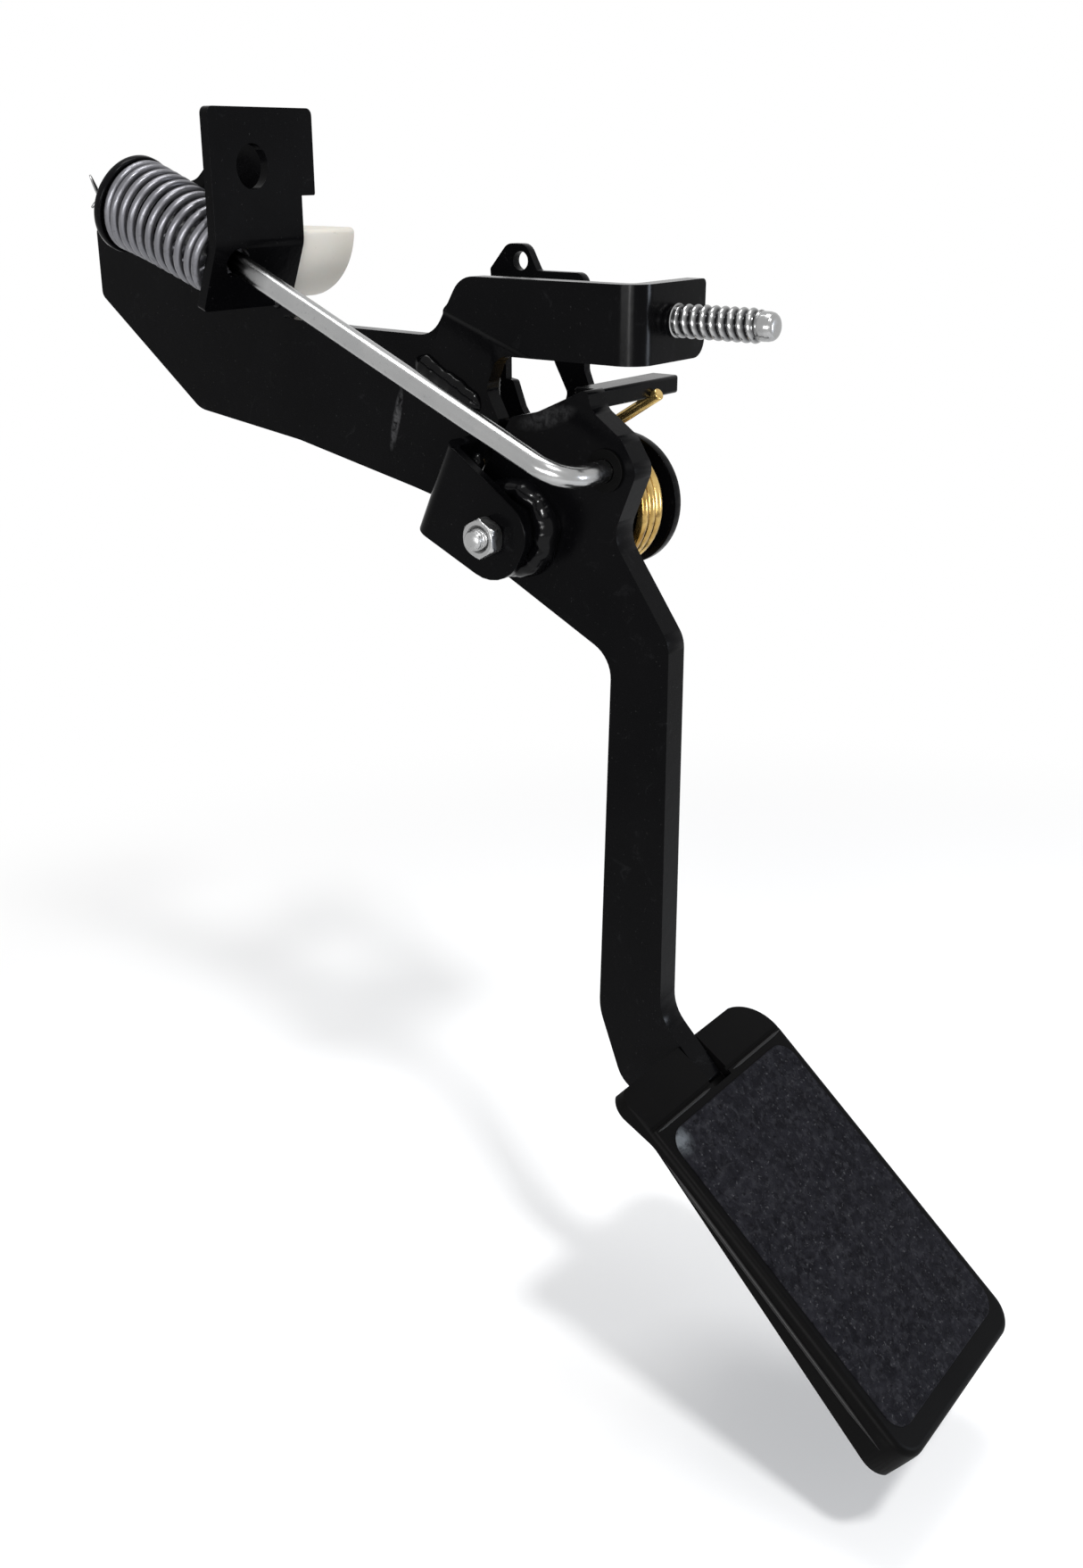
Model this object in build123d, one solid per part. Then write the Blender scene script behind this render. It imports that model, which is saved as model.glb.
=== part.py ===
from build123d import *
from math import asin, atan, atan2, cos, degrees, hypot, radians, sin, tan
import os

# Accelerator pedal: a hanging lever on a welded sheet metal bracket, with a pull rod,
# a compression spring on the rod and a torsion spring on the pivot.
# Millimetres. +X runs along the pivot, +Y is away from the driver, +Z is up.
# Every piece is drawn about the pivot axis, with the lever's mid plane at X = 0.
# The origin is then moved to the start of the stud's thread, just off the end flange.

os.makedirs("parts", exist_ok=True)

# stud and end flange
STUD_X = 15.0
STUD_Z = 56.5
STUD_D = 9.0
STUD_LENGTH = 29.5
STUD_RELIEF = 0.8
STUD_RELIEF_D = 7.6
STUD_SHANK_D = 10.0
STUD_CHAMFER = 0.6
DOG_D = 7.4
DOG_LENGTH = 6.4
DOG_ROUND = 1.6
STUD_HEAD_D = 14.0
STUD_HEAD_T = 2.4

# main plate
PLATE_T = 5.0
PLATE_X = -4.0
PLATE_BACK = PLATE_X + PLATE_T
ARM_TOP = 66.4
WEB_TOP = 102.0
ARM_LOW = 46.1
FLANGE_Y = -38.2
FLANGE_END_X = 28.6
BEND_R = 7.0
FLANGE_TOP_R = 1.5
FLANGE_LOW_R = 5.0
CREASE_START = (24.5, 60.3)
CREASE_END = (-8.0, 47.2)
CREASE_W = 5.0
CREASE_H = 0.5
WELD_START = (36.2, 40.3)
WELD_END = (14.6, 31.6)
WELD_W = 7.6
WELD_H = 1.4

# upright bracket that carries the spring and the rod
UPRIGHT_T = 3.0
UPRIGHT_Y = 82.7
UPRIGHT_LEFT = -33.7
UPRIGHT_HEAD = 6.5
UPRIGHT_TOP = 109.3
UPRIGHT_SHOULDER = 85.8
UPRIGHT_BEND_Z = 73.2
UPRIGHT_BEND_R = 6.0
UPRIGHT_TILT = 21.0
UPRIGHT_FOOT = 19.3
UPRIGHT_CORNER = 2.0
MOUNT_HOLE_X = -18.0
MOUNT_HOLE_Z = 93.8
MOUNT_HOLE_D = 12.2

# pivot strap: front ear and its short wall
STRAP_T = 3.2
STRAP_X = -18.0
STRAP_WALL = 24.5
STRAP_TOP = 15.5
STRAP_LOW = 12.3
STRAP_LEAN = 24.1
STRAP_BEND_R = 5.0
EAR_NOSE = 11.8

# rear bracket
REAR_T = 3.0
REAR_X = 46.0
REAR_EAR_R = 20.0
REAR_WALL_Y = 51.0
REAR_WALL_LOW = 12.0
REAR_WALL_TOP = 45.0
REAR_FOOT_Y = 12.5
REAR_FOOT_LOW = 22.0
LUG_HOLE_D = 5.5
LUG_HOLE = (37.2, 67.2)

# pivot
BOLT_D = 6.0
BOLT_HOLE_D = 6.4
BOLT_TIP_X = -26.0
BOLT_TIP_CHAMFER = 1.0
NUT_AF = 10.0
NUT_H = 5.0
BOLT_HEAD_H = 4.0
HEX_CHAMFER = 0.7
SLEEVE_D = 10.0
SLEEVE_BORE = 6.4
RUNNING_GAP = 0.06
BOSS_D = 18.0
BOSS_BORE = 13.0
BUSH_FLANGE_D = 16.0
BUSH_FLANGE_T = 1.2
BUSH_LENGTH = 12.0
END_PLAY = 0.1
BOSS_WELD_D = 23.5
BOSS_WELD_H = 2.6

# lever
LEVER_T = 8.0
HOOK_Y = -28.9
HOOK_Z = 19.0
BUSH_HOLE_D = 8.4
TAB_FRONT = -22.0
TAB_DEPTH = 9.0
TAB_LOW = 33.6
TAB_H = 5.0
TAB_END_X = 42.0

# pull rod, its bush and its retainer
ROD_D = 6.0
ROD_X = -24.0
ROD_ANGLE = 23.4
ROD_SET_ANGLE = 19.4
ROD_SET_R = 40.0
ROD_BEND_R = 9.0
ROD_TIP_X = 9.5
ROD_TIP_CHAMFER = 1.0
ROD_GUIDE_D = 8.6
ROD_BUSH_FLANGE_D = 11.5
ROD_BUSH_FLANGE_T = 1.0
CLIP_D = 15.0
CLIP_T = 1.4
CLIP_GAP = 0.3

# both springs are swept from a section with this many flats
WIRE_FLATS = 6

# compression spring on the rod
COIL_D = 24.6
COIL_WIRE = 2.4
COIL_LENGTH = 38.2
COIL_TURNS = 10.5
COIL_END_GAP = 0.05
COIL_STAND_OFF = 2.2
WASHER_D = 28.4
WASHER_T = 2.5
WASHER_CHAMFER = 0.5
PIN_WIRE = 2.2
PIN_SPAN = 17.0
PIN_EYE_D = 4.6
PIN_LEG = 8.0
PIN_SPREAD = 55.0
PIN_OFFSET = 4.0
ROD_OVERHANG = 9.0

# torsion spring on the pivot
TORSION_WIRE = 3.4
TORSION_R = 17.2
TORSION_PITCH = 3.7
TORSION_TURNS = 3
TORSION_X = 30.3
LEG_ANGLE = 28.0
LEG_END_Y = -25.0
REST_LEG_GAP = 0.3
REST_LEG_OVERHANG = 4.0
GUIDE_D = 30.2
GUIDE_START = 23.0
GUIDE_END = 43.5
GUIDE_RIM_D = 35.0
GUIDE_RIM_T = 1.5

# half-round nylon block behind the upright
BLOCK_R = 21.0
BLOCK_Y = 107.2
BLOCK_TOP = 76.2
BLOCK_END_X = 27.0
BLOCK_EDGE_R = 1.5
RIVET_D = 5.0
RIVET_HEAD_D = 10.0
RIVET_HEAD_T = 2.2
RIVET_HEAD_CHAMFER = 1.2
RIVET_Z = 66.0
RIVET_DEPTH = 14.0

# pad, drawn in its own plane: +x across, +y up along the pad, +z out of its face
PAD_Y = -72.4
PAD_Z = -156.0
PAD_TILT = 49.7
PAD_HALF_W = 36.2
PAD_TOP = 17.4
PAD_END = -105.6
PAD_TOP_DEPTH = 5.4
PAD_NECK_DEPTH = 3.0
PAD_END_DEPTH = 12.6
PAD_FLARE = 1.6
PAD_FACE_R = 2.2
PAD_TOP_R = 15.0
PAD_NEAR_R = 5.0
PAD_END_R = 8.0
COVER_SKIN = 3.0
COVER_LIP = 1.4
COVER_RIM = 1.8
COVER_WRAP = 4.0
NOTCH_END = 2.0
NOTCH_CLEAR = 0.6
PAD_PLATE_T = 2.4
PAD_PLATE_INSET = 7.4
INSERT_HALF_W = 32.8
INSERT_LENGTH = 98.4
INSERT_R = 6.5
INSERT_SUNK = 1.4
INSERT_PROUD = 0.5
GROOVE_Y = 3.9
GROOVE_W = 1.2
GROOVE_DEPTH = 0.8
FLAP_SLOPE = 8.0
BAR_FRONT = -2.5
BAR_STEP_Y = 3.6
FOOT_END = -62.0
FOOT_END_DEPTH = 14.0
FOOT_HEEL_Y = 2.0
FOOT_HEEL_DEPTH = 19.0


def outline(corners):
    """Closed flat face of straight runs; each corner (u, v, r) is rounded with radius r."""
    points = [Vector(u, v) for u, v, r in corners]
    joints = []
    for i, (u, v, r) in enumerate(corners):
        here = points[i]
        back = (points[i - 1] - here).normalized()
        ahead = (points[(i + 1) % len(points)] - here).normalized()
        if r == 0:
            joints.append((here, None, here))
            continue
        half = radians(back.get_angle(ahead) / 2)
        reach = r / tan(half)
        middle = here + (back + ahead).normalized() * (r / sin(half) - r)
        joints.append((here + back * reach, middle, here + ahead * reach))
    edges = []
    for i, (start, middle, end) in enumerate(joints):
        if middle is not None:
            edges.append(ThreePointArc(start, middle, end))
        following = joints[(i + 1) % len(joints)][0]
        if (following - end).length > 1e-6:
            edges.append(Line(end, following))
    return make_face(edges)


def side_plate(corners, x, thickness):
    """Flat plate square to X, drawn as (Y, Z, radius) corners."""
    return extrude(Plane.YZ.offset(x) * outline(corners), thickness)


def rod_along_x(diameter, x_from, x_to, y=0.0, z=0.0):
    """Round bar parallel to X."""
    return extrude(Plane.YZ.offset(x_from) * Pos(y, z) * Circle(diameter / 2), x_to - x_from)


def hexagon_along_x(across_flats, x_from, x_to):
    """Hexagon bar about the pivot axis with its outer corners turned off."""
    bar = extrude(
        Plane.YZ.offset(x_from) * Rot(0, 0, 30) * RegularPolygon(across_flats / 2, 6, major_radius=False),
        x_to - x_from,
    )
    middle = Plane.YZ.offset((x_from + x_to) / 2)
    turned = middle * Cylinder((across_flats + HEX_CHAMFER) / 2, x_to - x_from)
    turned = chamfer(turned.edges().filter_by(GeomType.CIRCLE), HEX_CHAMFER)
    wide = middle * Cylinder(across_flats, x_to - x_from - 2 * HEX_CHAMFER)
    return bar & (turned + wide)


def slot_between(start, end, width, height, x):
    """Raised round-ended bead on the face at x, rising towards -X."""
    run = Vector(*end) - Vector(*start)
    middle = (Vector(*start) + Vector(*end)) * 0.5
    turn = degrees(atan(run.Y / run.X))
    place = Plane.YZ.offset(x) * Pos(middle.X, middle.Y) * Rot(0, 0, turn)
    return extrude(place * SlotCenterToCenter(run.length, width), -height)


def pad_yz(y, out):
    """(Y, Z) of the point at height y along the pad and distance out of its face."""
    tilt = radians(PAD_TILT)
    return (PAD_Y + y * sin(tilt) - out * cos(tilt), PAD_Z + y * cos(tilt) + out * sin(tilt))


def save(solid, node):
    """Moves the solid from the pivot to the start of the stud's thread and writes it."""
    moved = Pos(-STUD_X, STUD_RELIEF - FLANGE_Y, -STUD_Z) * solid
    moved.label = node
    export_step(moved, f"parts/{node}.step")


# The upright's front face is vertical down to the bend and then leans away,
# so that its foot stands square to the rod.
lean = radians(UPRIGHT_TILT)
foot_front = (UPRIGHT_Y + UPRIGHT_FOOT * sin(lean), UPRIGHT_BEND_Z - UPRIGHT_FOOT * cos(lean))
foot_back = (foot_front[0] + UPRIGHT_T * cos(lean), foot_front[1] + UPRIGHT_T * sin(lean))
upright_back = UPRIGHT_Y + UPRIGHT_T
bend_back_z = UPRIGHT_BEND_Z + UPRIGHT_T * tan(lean / 2)

# Main plate: arm, leg and web cut from one sheet, with the arm's end bent into a flange.
bend_y = FLANGE_Y + BEND_R
bend_x = PLATE_X + BEND_R
main_corners = [
    (bend_y, ARM_TOP, 0),
    (20.0, ARM_TOP, 5.0),
    (29.9, 50.0, 6.0),
    (64.5, 50.4, 10.0),
    (foot_back[0] - 2.0, 51.8, 1.5),
    (foot_back[0], foot_back[1], 0),
    (upright_back, bend_back_z, UPRIGHT_BEND_R),
    (upright_back, WEB_TOP, 0),
    (107.0, WEB_TOP, 5.0),
    (121.5, 90.0, 7.0),
    (146.0, 85.0, 12.0),
    (170.2, 74.6, 2.0),
    (170.2, 54.2, 3.0),
    (127.5, 21.6, 9.0),
    (84.0, 16.0, 20.0),
    (38.0, 6.8, 12.0),
    (21.2, 3.0, 3.0),
    (14.2, 18.6, 6.0),
    (6.9, 28.6, 1.5),
    (11.4, 36.8, 5.0),
    (7.4, ARM_LOW, 5.0),
    (bend_y, ARM_LOW, 0),
]
main_plate = side_plate(main_corners, PLATE_X, PLATE_T)
bend_section = Plane.XZ.offset(-bend_y) * Pos(PLATE_X + PLATE_T / 2, (ARM_TOP + ARM_LOW) / 2)
bend_section = bend_section * Rectangle(PLATE_T, ARM_TOP - ARM_LOW)
bend_axis = Axis((bend_x, bend_y, 0), (0, 0, 1))
bend = revolve(bend_section, bend_axis, 90)
flange_face = Plane.XZ.offset(-FLANGE_Y) * outline(
    [
        (bend_x, ARM_LOW, 0),
        (FLANGE_END_X, ARM_LOW, FLANGE_LOW_R),
        (FLANGE_END_X, ARM_TOP, FLANGE_TOP_R),
        (bend_x, ARM_TOP, 0),
    ]
)
flange = extrude(flange_face, -PLATE_T)
main_plate = main_plate + bend + flange
main_plate = main_plate + slot_between(CREASE_START, CREASE_END, CREASE_W, CREASE_H, PLATE_X)
main_plate = main_plate + slot_between(WELD_START, WELD_END, WELD_W, WELD_H, PLATE_X)
stud_axis = Plane.XZ.offset(-FLANGE_Y) * Pos(STUD_X, STUD_Z)
main_plate = main_plate - extrude(stud_axis * Circle(STUD_SHANK_D / 2), -PLATE_T)
main_plate = main_plate - rod_along_x(RIVET_D, PLATE_X, PLATE_BACK, BLOCK_Y, RIVET_Z)
save(main_plate, "main_plate")

# Stud: a flat head behind the flange, the threaded length and a plain dog point.
dog_start = STUD_LENGTH - DOG_LENGTH
stud = revolve(
    make_face(
        [
            Polyline(
                (0, STUD_LENGTH),
                (0, -PLATE_T - STUD_HEAD_T),
                (STUD_HEAD_D / 2, -PLATE_T - STUD_HEAD_T),
                (STUD_HEAD_D / 2, -PLATE_T),
                (STUD_SHANK_D / 2, -PLATE_T),
                (STUD_SHANK_D / 2, 0),
                (STUD_RELIEF_D / 2, 0),
                (STUD_RELIEF_D / 2, STUD_RELIEF),
                (STUD_D / 2, STUD_RELIEF),
                (STUD_D / 2, dog_start - STUD_CHAMFER),
                (STUD_D / 2 - STUD_CHAMFER, dog_start),
                (DOG_D / 2, dog_start),
                (DOG_D / 2, STUD_LENGTH - DOG_ROUND),
                (DOG_D / 2 - DOG_ROUND * 0.3, STUD_LENGTH - DOG_ROUND * 0.3),
                (DOG_D / 2 - DOG_ROUND, STUD_LENGTH),
                close=True,
            ),
        ]
    ),
    Axis.Y,
)
stud = Pos(STUD_X, FLANGE_Y, STUD_Z) * Rot(0, 0, 180) * stud
save(stud, "flange_stud")

# Upright bracket: a bent strip with a wide head, a mounting hole and the rod's guide hole.
upright_side = outline(
    [
        (UPRIGHT_Y, UPRIGHT_TOP, 0),
        (UPRIGHT_Y, UPRIGHT_BEND_Z, UPRIGHT_BEND_R + UPRIGHT_T),
        (foot_front[0], foot_front[1], 0),
        (foot_back[0], foot_back[1], 0),
        (upright_back, bend_back_z, UPRIGHT_BEND_R),
        (upright_back, UPRIGHT_TOP, 0),
    ]
)
upright = extrude(Plane.YZ.offset(UPRIGHT_LEFT) * upright_side, PLATE_BACK - UPRIGHT_LEFT)
head_face = Plane.XZ.offset(-UPRIGHT_Y) * outline(
    [
        (UPRIGHT_LEFT, UPRIGHT_SHOULDER, 0),
        (UPRIGHT_HEAD, UPRIGHT_SHOULDER, 0.6),
        (UPRIGHT_HEAD, UPRIGHT_TOP, UPRIGHT_CORNER),
        (UPRIGHT_LEFT, UPRIGHT_TOP, UPRIGHT_CORNER),
    ]
)
head = extrude(head_face, -UPRIGHT_T)
below_shoulder = Pos((UPRIGHT_LEFT + UPRIGHT_HEAD) / 2, UPRIGHT_Y, 0)
below_shoulder = below_shoulder * Box(
    UPRIGHT_HEAD - UPRIGHT_LEFT + 2, 4 * UPRIGHT_FOOT, 2 * UPRIGHT_SHOULDER
)
upright = (upright & below_shoulder) + head
mount_axis = Plane.XZ.offset(-UPRIGHT_Y) * Pos(MOUNT_HOLE_X, MOUNT_HOLE_Z)
upright = upright - extrude(mount_axis * Circle(MOUNT_HOLE_D / 2), -UPRIGHT_T)

# The rod's straight run: its direction, the guide hole and the stations along it.
rod_direction = Vector(0, cos(radians(ROD_ANGLE)), sin(radians(ROD_ANGLE)))
foot_normal = Vector(0, cos(lean), sin(lean))
hook_point = Vector(ROD_X, HOOK_Y, HOOK_Z)
to_foot = Vector(ROD_X, foot_back[0], foot_back[1]) - hook_point
guide_distance = to_foot.dot(foot_normal) / rod_direction.dot(foot_normal)
guide_point = hook_point + rod_direction * guide_distance
guide_plane = Plane(origin=guide_point, x_dir=(1, 0, 0), z_dir=foot_normal)
upright = upright - guide_plane * Cylinder(ROD_GUIDE_D / 2, 4 * UPRIGHT_T)
save(upright, "upright_bracket")

# Pivot strap: the front ear, bent round into a short wall that is welded to the main plate.
strap_plane = Plane(
    origin=(0, 0, 0),
    x_dir=(0, cos(radians(STRAP_LEAN)), sin(radians(STRAP_LEAN))),
    z_dir=(1, 0, 0),
)
wall_middle = STRAP_WALL - STRAP_T / 2
ear_face = outline(
    [
        (STRAP_WALL - STRAP_BEND_R, STRAP_TOP, 0),
        (-EAR_NOSE, EAR_NOSE - 1.8, 9.4),
        (-EAR_NOSE, -STRAP_LOW, 11.6),
        (STRAP_WALL - STRAP_BEND_R, -STRAP_LOW, 0),
    ]
)
ear = extrude(strap_plane.offset(STRAP_X) * ear_face, STRAP_T)
strap_height = STRAP_TOP + STRAP_LOW
strap_section = Rectangle(STRAP_T, strap_height)
bend_seat = strap_plane.offset(STRAP_X + STRAP_BEND_R) * Pos(wall_middle, (STRAP_TOP - STRAP_LOW) / 2)
strap_axis_at = strap_plane.offset(STRAP_X + STRAP_BEND_R) * Pos(STRAP_WALL - STRAP_BEND_R, 0)
strap_axis = Axis(strap_axis_at.position, strap_plane.y_dir)
strap_bend = revolve(bend_seat * strap_section, strap_axis, 90)
wall = extrude(bend_seat * strap_section, PLATE_X - STRAP_X - STRAP_BEND_R)
pivot_strap = ear + strap_bend + wall
pivot_strap = pivot_strap - rod_along_x(BOLT_HOLE_D, STRAP_X, STRAP_X + STRAP_T)
save(pivot_strap, "pivot_strap")

# Rear bracket: the back ear with a strip up to a holed lug, a cross wall and a welded foot.
rear_body = [
    (13.6, 64.6, 3.4),
    (13.4, 36.8, 5.0),
    (10.6, 30.0, 5.0),
    (-2.0, 19.0, 0),
    (0, 0, 0),
    (8.0, -18.0, 0),
    (REAR_WALL_Y - 4.0, REAR_WALL_LOW, 0),
    (REAR_WALL_Y - 4.0, REAR_WALL_TOP, 3.0),
    (48.8, 64.6, 1.0),
    (42.2, 72.1, 4.0),
    (35.2, 72.1, 4.0),
    (31.0, 64.6, 1.0),
]
rear_window = [
    (24.6, 57.0, 3.0),
    (24.6, 38.7, 3.0),
    (19.6, 29.8, 2.0),
    (22.0, 22.0, 3.0),
    (33.0, 18.0, 3.0),
    (37.2, 24.0, 3.0),
    (40.2, 31.8, 1.2),
    (44.2, 32.4, 1.0),
    (44.2, 57.0, 3.0),
]
rear_plate = side_plate(rear_body, REAR_X, REAR_T) + rod_along_x(2 * REAR_EAR_R, REAR_X, REAR_X + REAR_T)
rear_plate = rear_plate - side_plate(rear_window, REAR_X, REAR_T)
wall_inner = REAR_WALL_Y - REAR_T
foot_front_x = PLATE_BACK
rear_walls = outline(
    [
        (foot_front_x, REAR_FOOT_Y, 0),
        (foot_front_x, REAR_WALL_Y, REAR_T + 1.0),
        (REAR_X + REAR_T, REAR_WALL_Y, REAR_T + 1.0),
        (REAR_X + REAR_T, REAR_WALL_Y - 8.0, 0),
        (REAR_X, REAR_WALL_Y - 8.0, 0),
        (REAR_X, wall_inner, 1.0),
        (foot_front_x + REAR_T, wall_inner, 1.0),
        (foot_front_x + REAR_T, REAR_FOOT_Y, 0),
    ]
)
cross_wall = extrude(Plane.XY.offset(REAR_FOOT_LOW) * rear_walls, REAR_WALL_TOP - REAR_FOOT_LOW)
low_wall = extrude(
    Plane.XY.offset(REAR_WALL_LOW) * outline(
        [
            (foot_front_x + REAR_T + 2.0, wall_inner, 0),
            (foot_front_x + REAR_T + 2.0, REAR_WALL_Y, 0),
            (REAR_X + REAR_T, REAR_WALL_Y, REAR_T + 1.0),
            (REAR_X + REAR_T, REAR_WALL_Y - 8.0, 0),
            (REAR_X, REAR_WALL_Y - 8.0, 0),
            (REAR_X, wall_inner, 1.0),
        ]
    ),
    REAR_FOOT_LOW - REAR_WALL_LOW,
)
rear_bracket = rear_plate + cross_wall + low_wall
rear_bracket = rear_bracket - rod_along_x(BOLT_HOLE_D, REAR_X, REAR_X + REAR_T)
rear_bracket = rear_bracket - rod_along_x(LUG_HOLE_D, REAR_X, REAR_X + REAR_T, *LUG_HOLE)

# Torsion spring: close turns round the boss, one leg under the lever's tab
# and one under the lower edge of the rear bracket's cross wall.
leg_turn = radians(LEG_ANGLE)
leg_start = (TORSION_R * sin(leg_turn), TORSION_R * cos(leg_turn))
leg_run = (leg_start[0] - LEG_END_Y) / cos(leg_turn)
rest_z = REAR_WALL_LOW - TORSION_WIRE / 2 - REST_LEG_GAP
rest_reach = hypot(wall_inner, rest_z)
rest_turn = atan2(rest_z, wall_inner) - asin(TORSION_R / rest_reach)
rest_run = (REAR_WALL_Y + TORSION_R * sin(rest_turn)) / cos(rest_turn) + REST_LEG_OVERHANG
coil_sweep = 360 * TORSION_TURNS - LEG_ANGLE - degrees(rest_turn)
coil_height = TORSION_PITCH * coil_sweep / 360
coil_frame = Plane(origin=(TORSION_X, 0, 0), x_dir=(0, *leg_start), z_dir=(1, 0, 0))
coil_path = coil_frame * Helix(pitch=TORSION_PITCH, height=coil_height, radius=TORSION_R, lefthand=True)
wire = RegularPolygon(TORSION_WIRE / 2, WIRE_FLATS)
wire_start = Plane(origin=coil_path @ 0, z_dir=coil_path % 0) * wire
coil = sweep(wire_start, coil_path, is_frenet=True)
wire_end = coil.faces().sort_by_distance(coil_path @ 1)[0]
torsion_spring = extrude(wire_start, -leg_run) + coil + extrude(wire_end, rest_run)
save(torsion_spring, "torsion_spring")
save(rear_bracket, "rear_bracket")

# Pivot bolt, nut, clamped sleeve, boss and its two flanged bushes.
head_x = REAR_X + REAR_T
pivot_bolt = rod_along_x(BOLT_D, BOLT_TIP_X, head_x)
pivot_bolt = chamfer(
    pivot_bolt.edges().filter_by(GeomType.CIRCLE).sort_by(Axis.X)[0], BOLT_TIP_CHAMFER
)
pivot_bolt = pivot_bolt + hexagon_along_x(NUT_AF, head_x, head_x + BOLT_HEAD_H)
save(pivot_bolt, "pivot_bolt")

pivot_nut = hexagon_along_x(NUT_AF, STRAP_X - NUT_H, STRAP_X)
pivot_nut = pivot_nut - rod_along_x(BOLT_D, STRAP_X - NUT_H, STRAP_X)
save(pivot_nut, "pivot_nut")

ear_inner = STRAP_X + STRAP_T
pivot_sleeve = rod_along_x(SLEEVE_D, ear_inner, REAR_X) - rod_along_x(SLEEVE_BORE, ear_inner, REAR_X)
save(pivot_sleeve, "pivot_sleeve")

boss_from = ear_inner + END_PLAY + BUSH_FLANGE_T
boss_to = REAR_X - END_PLAY - BUSH_FLANGE_T
pivot_boss = rod_along_x(BOSS_D, boss_from, boss_to) - rod_along_x(BOSS_BORE, boss_from, boss_to)
bead = Plane.YZ.offset(-LEVER_T / 2) * Circle(BOSS_WELD_D / 2)
bead = extrude(bead, -BOSS_WELD_H)
bead = chamfer(bead.edges().sort_by(Axis.X)[0], BOSS_WELD_H * 0.8, (BOSS_WELD_D - BOSS_D) / 2 * 0.9)
weld_ring = bead - rod_along_x(BOSS_D, -LEVER_T, 0)
save(pivot_boss, "pivot_boss")

bush_bore = SLEEVE_D + 2 * RUNNING_GAP
for node, flange_from, body_from in (
    ("front_bush", ear_inner + END_PLAY, boss_from),
    ("rear_bush", boss_to, boss_to - BUSH_LENGTH),
):
    bush = rod_along_x(BOSS_BORE, body_from, body_from + BUSH_LENGTH)
    bush = bush + rod_along_x(BUSH_FLANGE_D, flange_from, flange_from + BUSH_FLANGE_T)
    bush = bush - rod_along_x(bush_bore, ear_inner, REAR_X)
    save(bush, node)

# Lever: one flat bar profile with the rod's hole, a neck, and a foot that carries the pad.
lever_corners = [
    (2.8, 30.2, 2.0),
    (-6.0, 32.2, 10.0),
    (-22.4, 39.6, 1.4),
    (-24.2, 34.0, 4.0),
    (-33.6, 27.6, 7.0),
    (-38.8, 19.6, 5.0),
    (-31.4, 1.2, 9.0),
    (-50.1, -25.2, 9.0),
    (-50.9, -138.6, 13.0),
    (*pad_yz(BAR_STEP_Y, BAR_FRONT), 1.5),
    (*pad_yz(BAR_STEP_Y, -COVER_SKIN - PAD_PLATE_T), 0),
    (*pad_yz(FOOT_END, -COVER_SKIN - PAD_PLATE_T), 0),
    (*pad_yz(FOOT_END, -FOOT_END_DEPTH), 3.0),
    (*pad_yz(FOOT_HEEL_Y, -FOOT_HEEL_DEPTH), 12.0),
    (-38.6, -166.6, 10.0),
    (-29.4, -142.6, 18.0),
    (-31.6, -32.4, 10.0),
    (14.2, -9.8, 9.0),
    (13.2, 13.0, 9.0),
]
half_lever = LEVER_T / 2
lever = side_plate(lever_corners, -half_lever, LEVER_T)
lever = lever - rod_along_x(BOSS_D, -half_lever, half_lever)
lever = lever - rod_along_x(BUSH_HOLE_D, -half_lever, half_lever, HOOK_Y, HOOK_Z)
lever = lever + weld_ring
save(lever, "pedal_lever")

tab_section = Plane.YZ.offset(half_lever) * Pos(TAB_FRONT + TAB_DEPTH / 2, TAB_LOW + TAB_H / 2)
spring_tab = extrude(tab_section * Rectangle(TAB_DEPTH, TAB_H), TAB_END_X - half_lever)
spring_tab = fillet(spring_tab.edges().filter_by(Axis.X), 0.8)
save(spring_tab, "spring_tab")

# Guide sleeve that centres the torsion spring on the boss.
spring_guide = rod_along_x(GUIDE_D, GUIDE_START, GUIDE_END)
spring_guide = spring_guide + rod_along_x(GUIDE_RIM_D, GUIDE_START, GUIDE_START + GUIDE_RIM_T)
spring_guide = spring_guide - rod_along_x(BOSS_D, GUIDE_START, GUIDE_END)
save(spring_guide, "spring_guide")

# Pull rod: hooked through the lever, straight through the upright, drilled for its split pin.
set_direction = Vector(0, cos(radians(ROD_SET_ANGLE)), sin(radians(ROD_SET_ANGLE)))
rod_plane = Plane(origin=guide_point, x_dir=(1, 0, 0), z_dir=set_direction)
coil_seat = COIL_STAND_OFF
washer_seat = coil_seat + COIL_LENGTH + COIL_END_GAP
rod_length = washer_seat + WASHER_T + ROD_OVERHANG
rod_end = guide_point + set_direction * rod_length
rod_path = FilletPolyline(
    (ROD_TIP_X, HOOK_Y, HOOK_Z), hook_point, guide_point, rod_end, radius=[ROD_BEND_R, ROD_SET_R]
)
rod_start = Plane(origin=(ROD_TIP_X, HOOK_Y, HOOK_Z), z_dir=(-1, 0, 0))
pull_rod = sweep(rod_start * Circle(ROD_D / 2), rod_path)
ends = pull_rod.edges().filter_by(GeomType.CIRCLE)
tip_edges = [e for e in ends if e.center().X > 0 or (e.center() - rod_end).length < 0.1]
pull_rod = chamfer(tip_edges, ROD_TIP_CHAMFER)
pin_height = washer_seat + WASHER_T + PIN_OFFSET
pin_seat = rod_plane * Pos(0, 0, pin_height) * Rot(0, 90, 0)
pull_rod = pull_rod - pin_seat * Cylinder(PIN_WIRE / 2, 2 * ROD_D)
save(pull_rod, "pull_rod")

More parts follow.
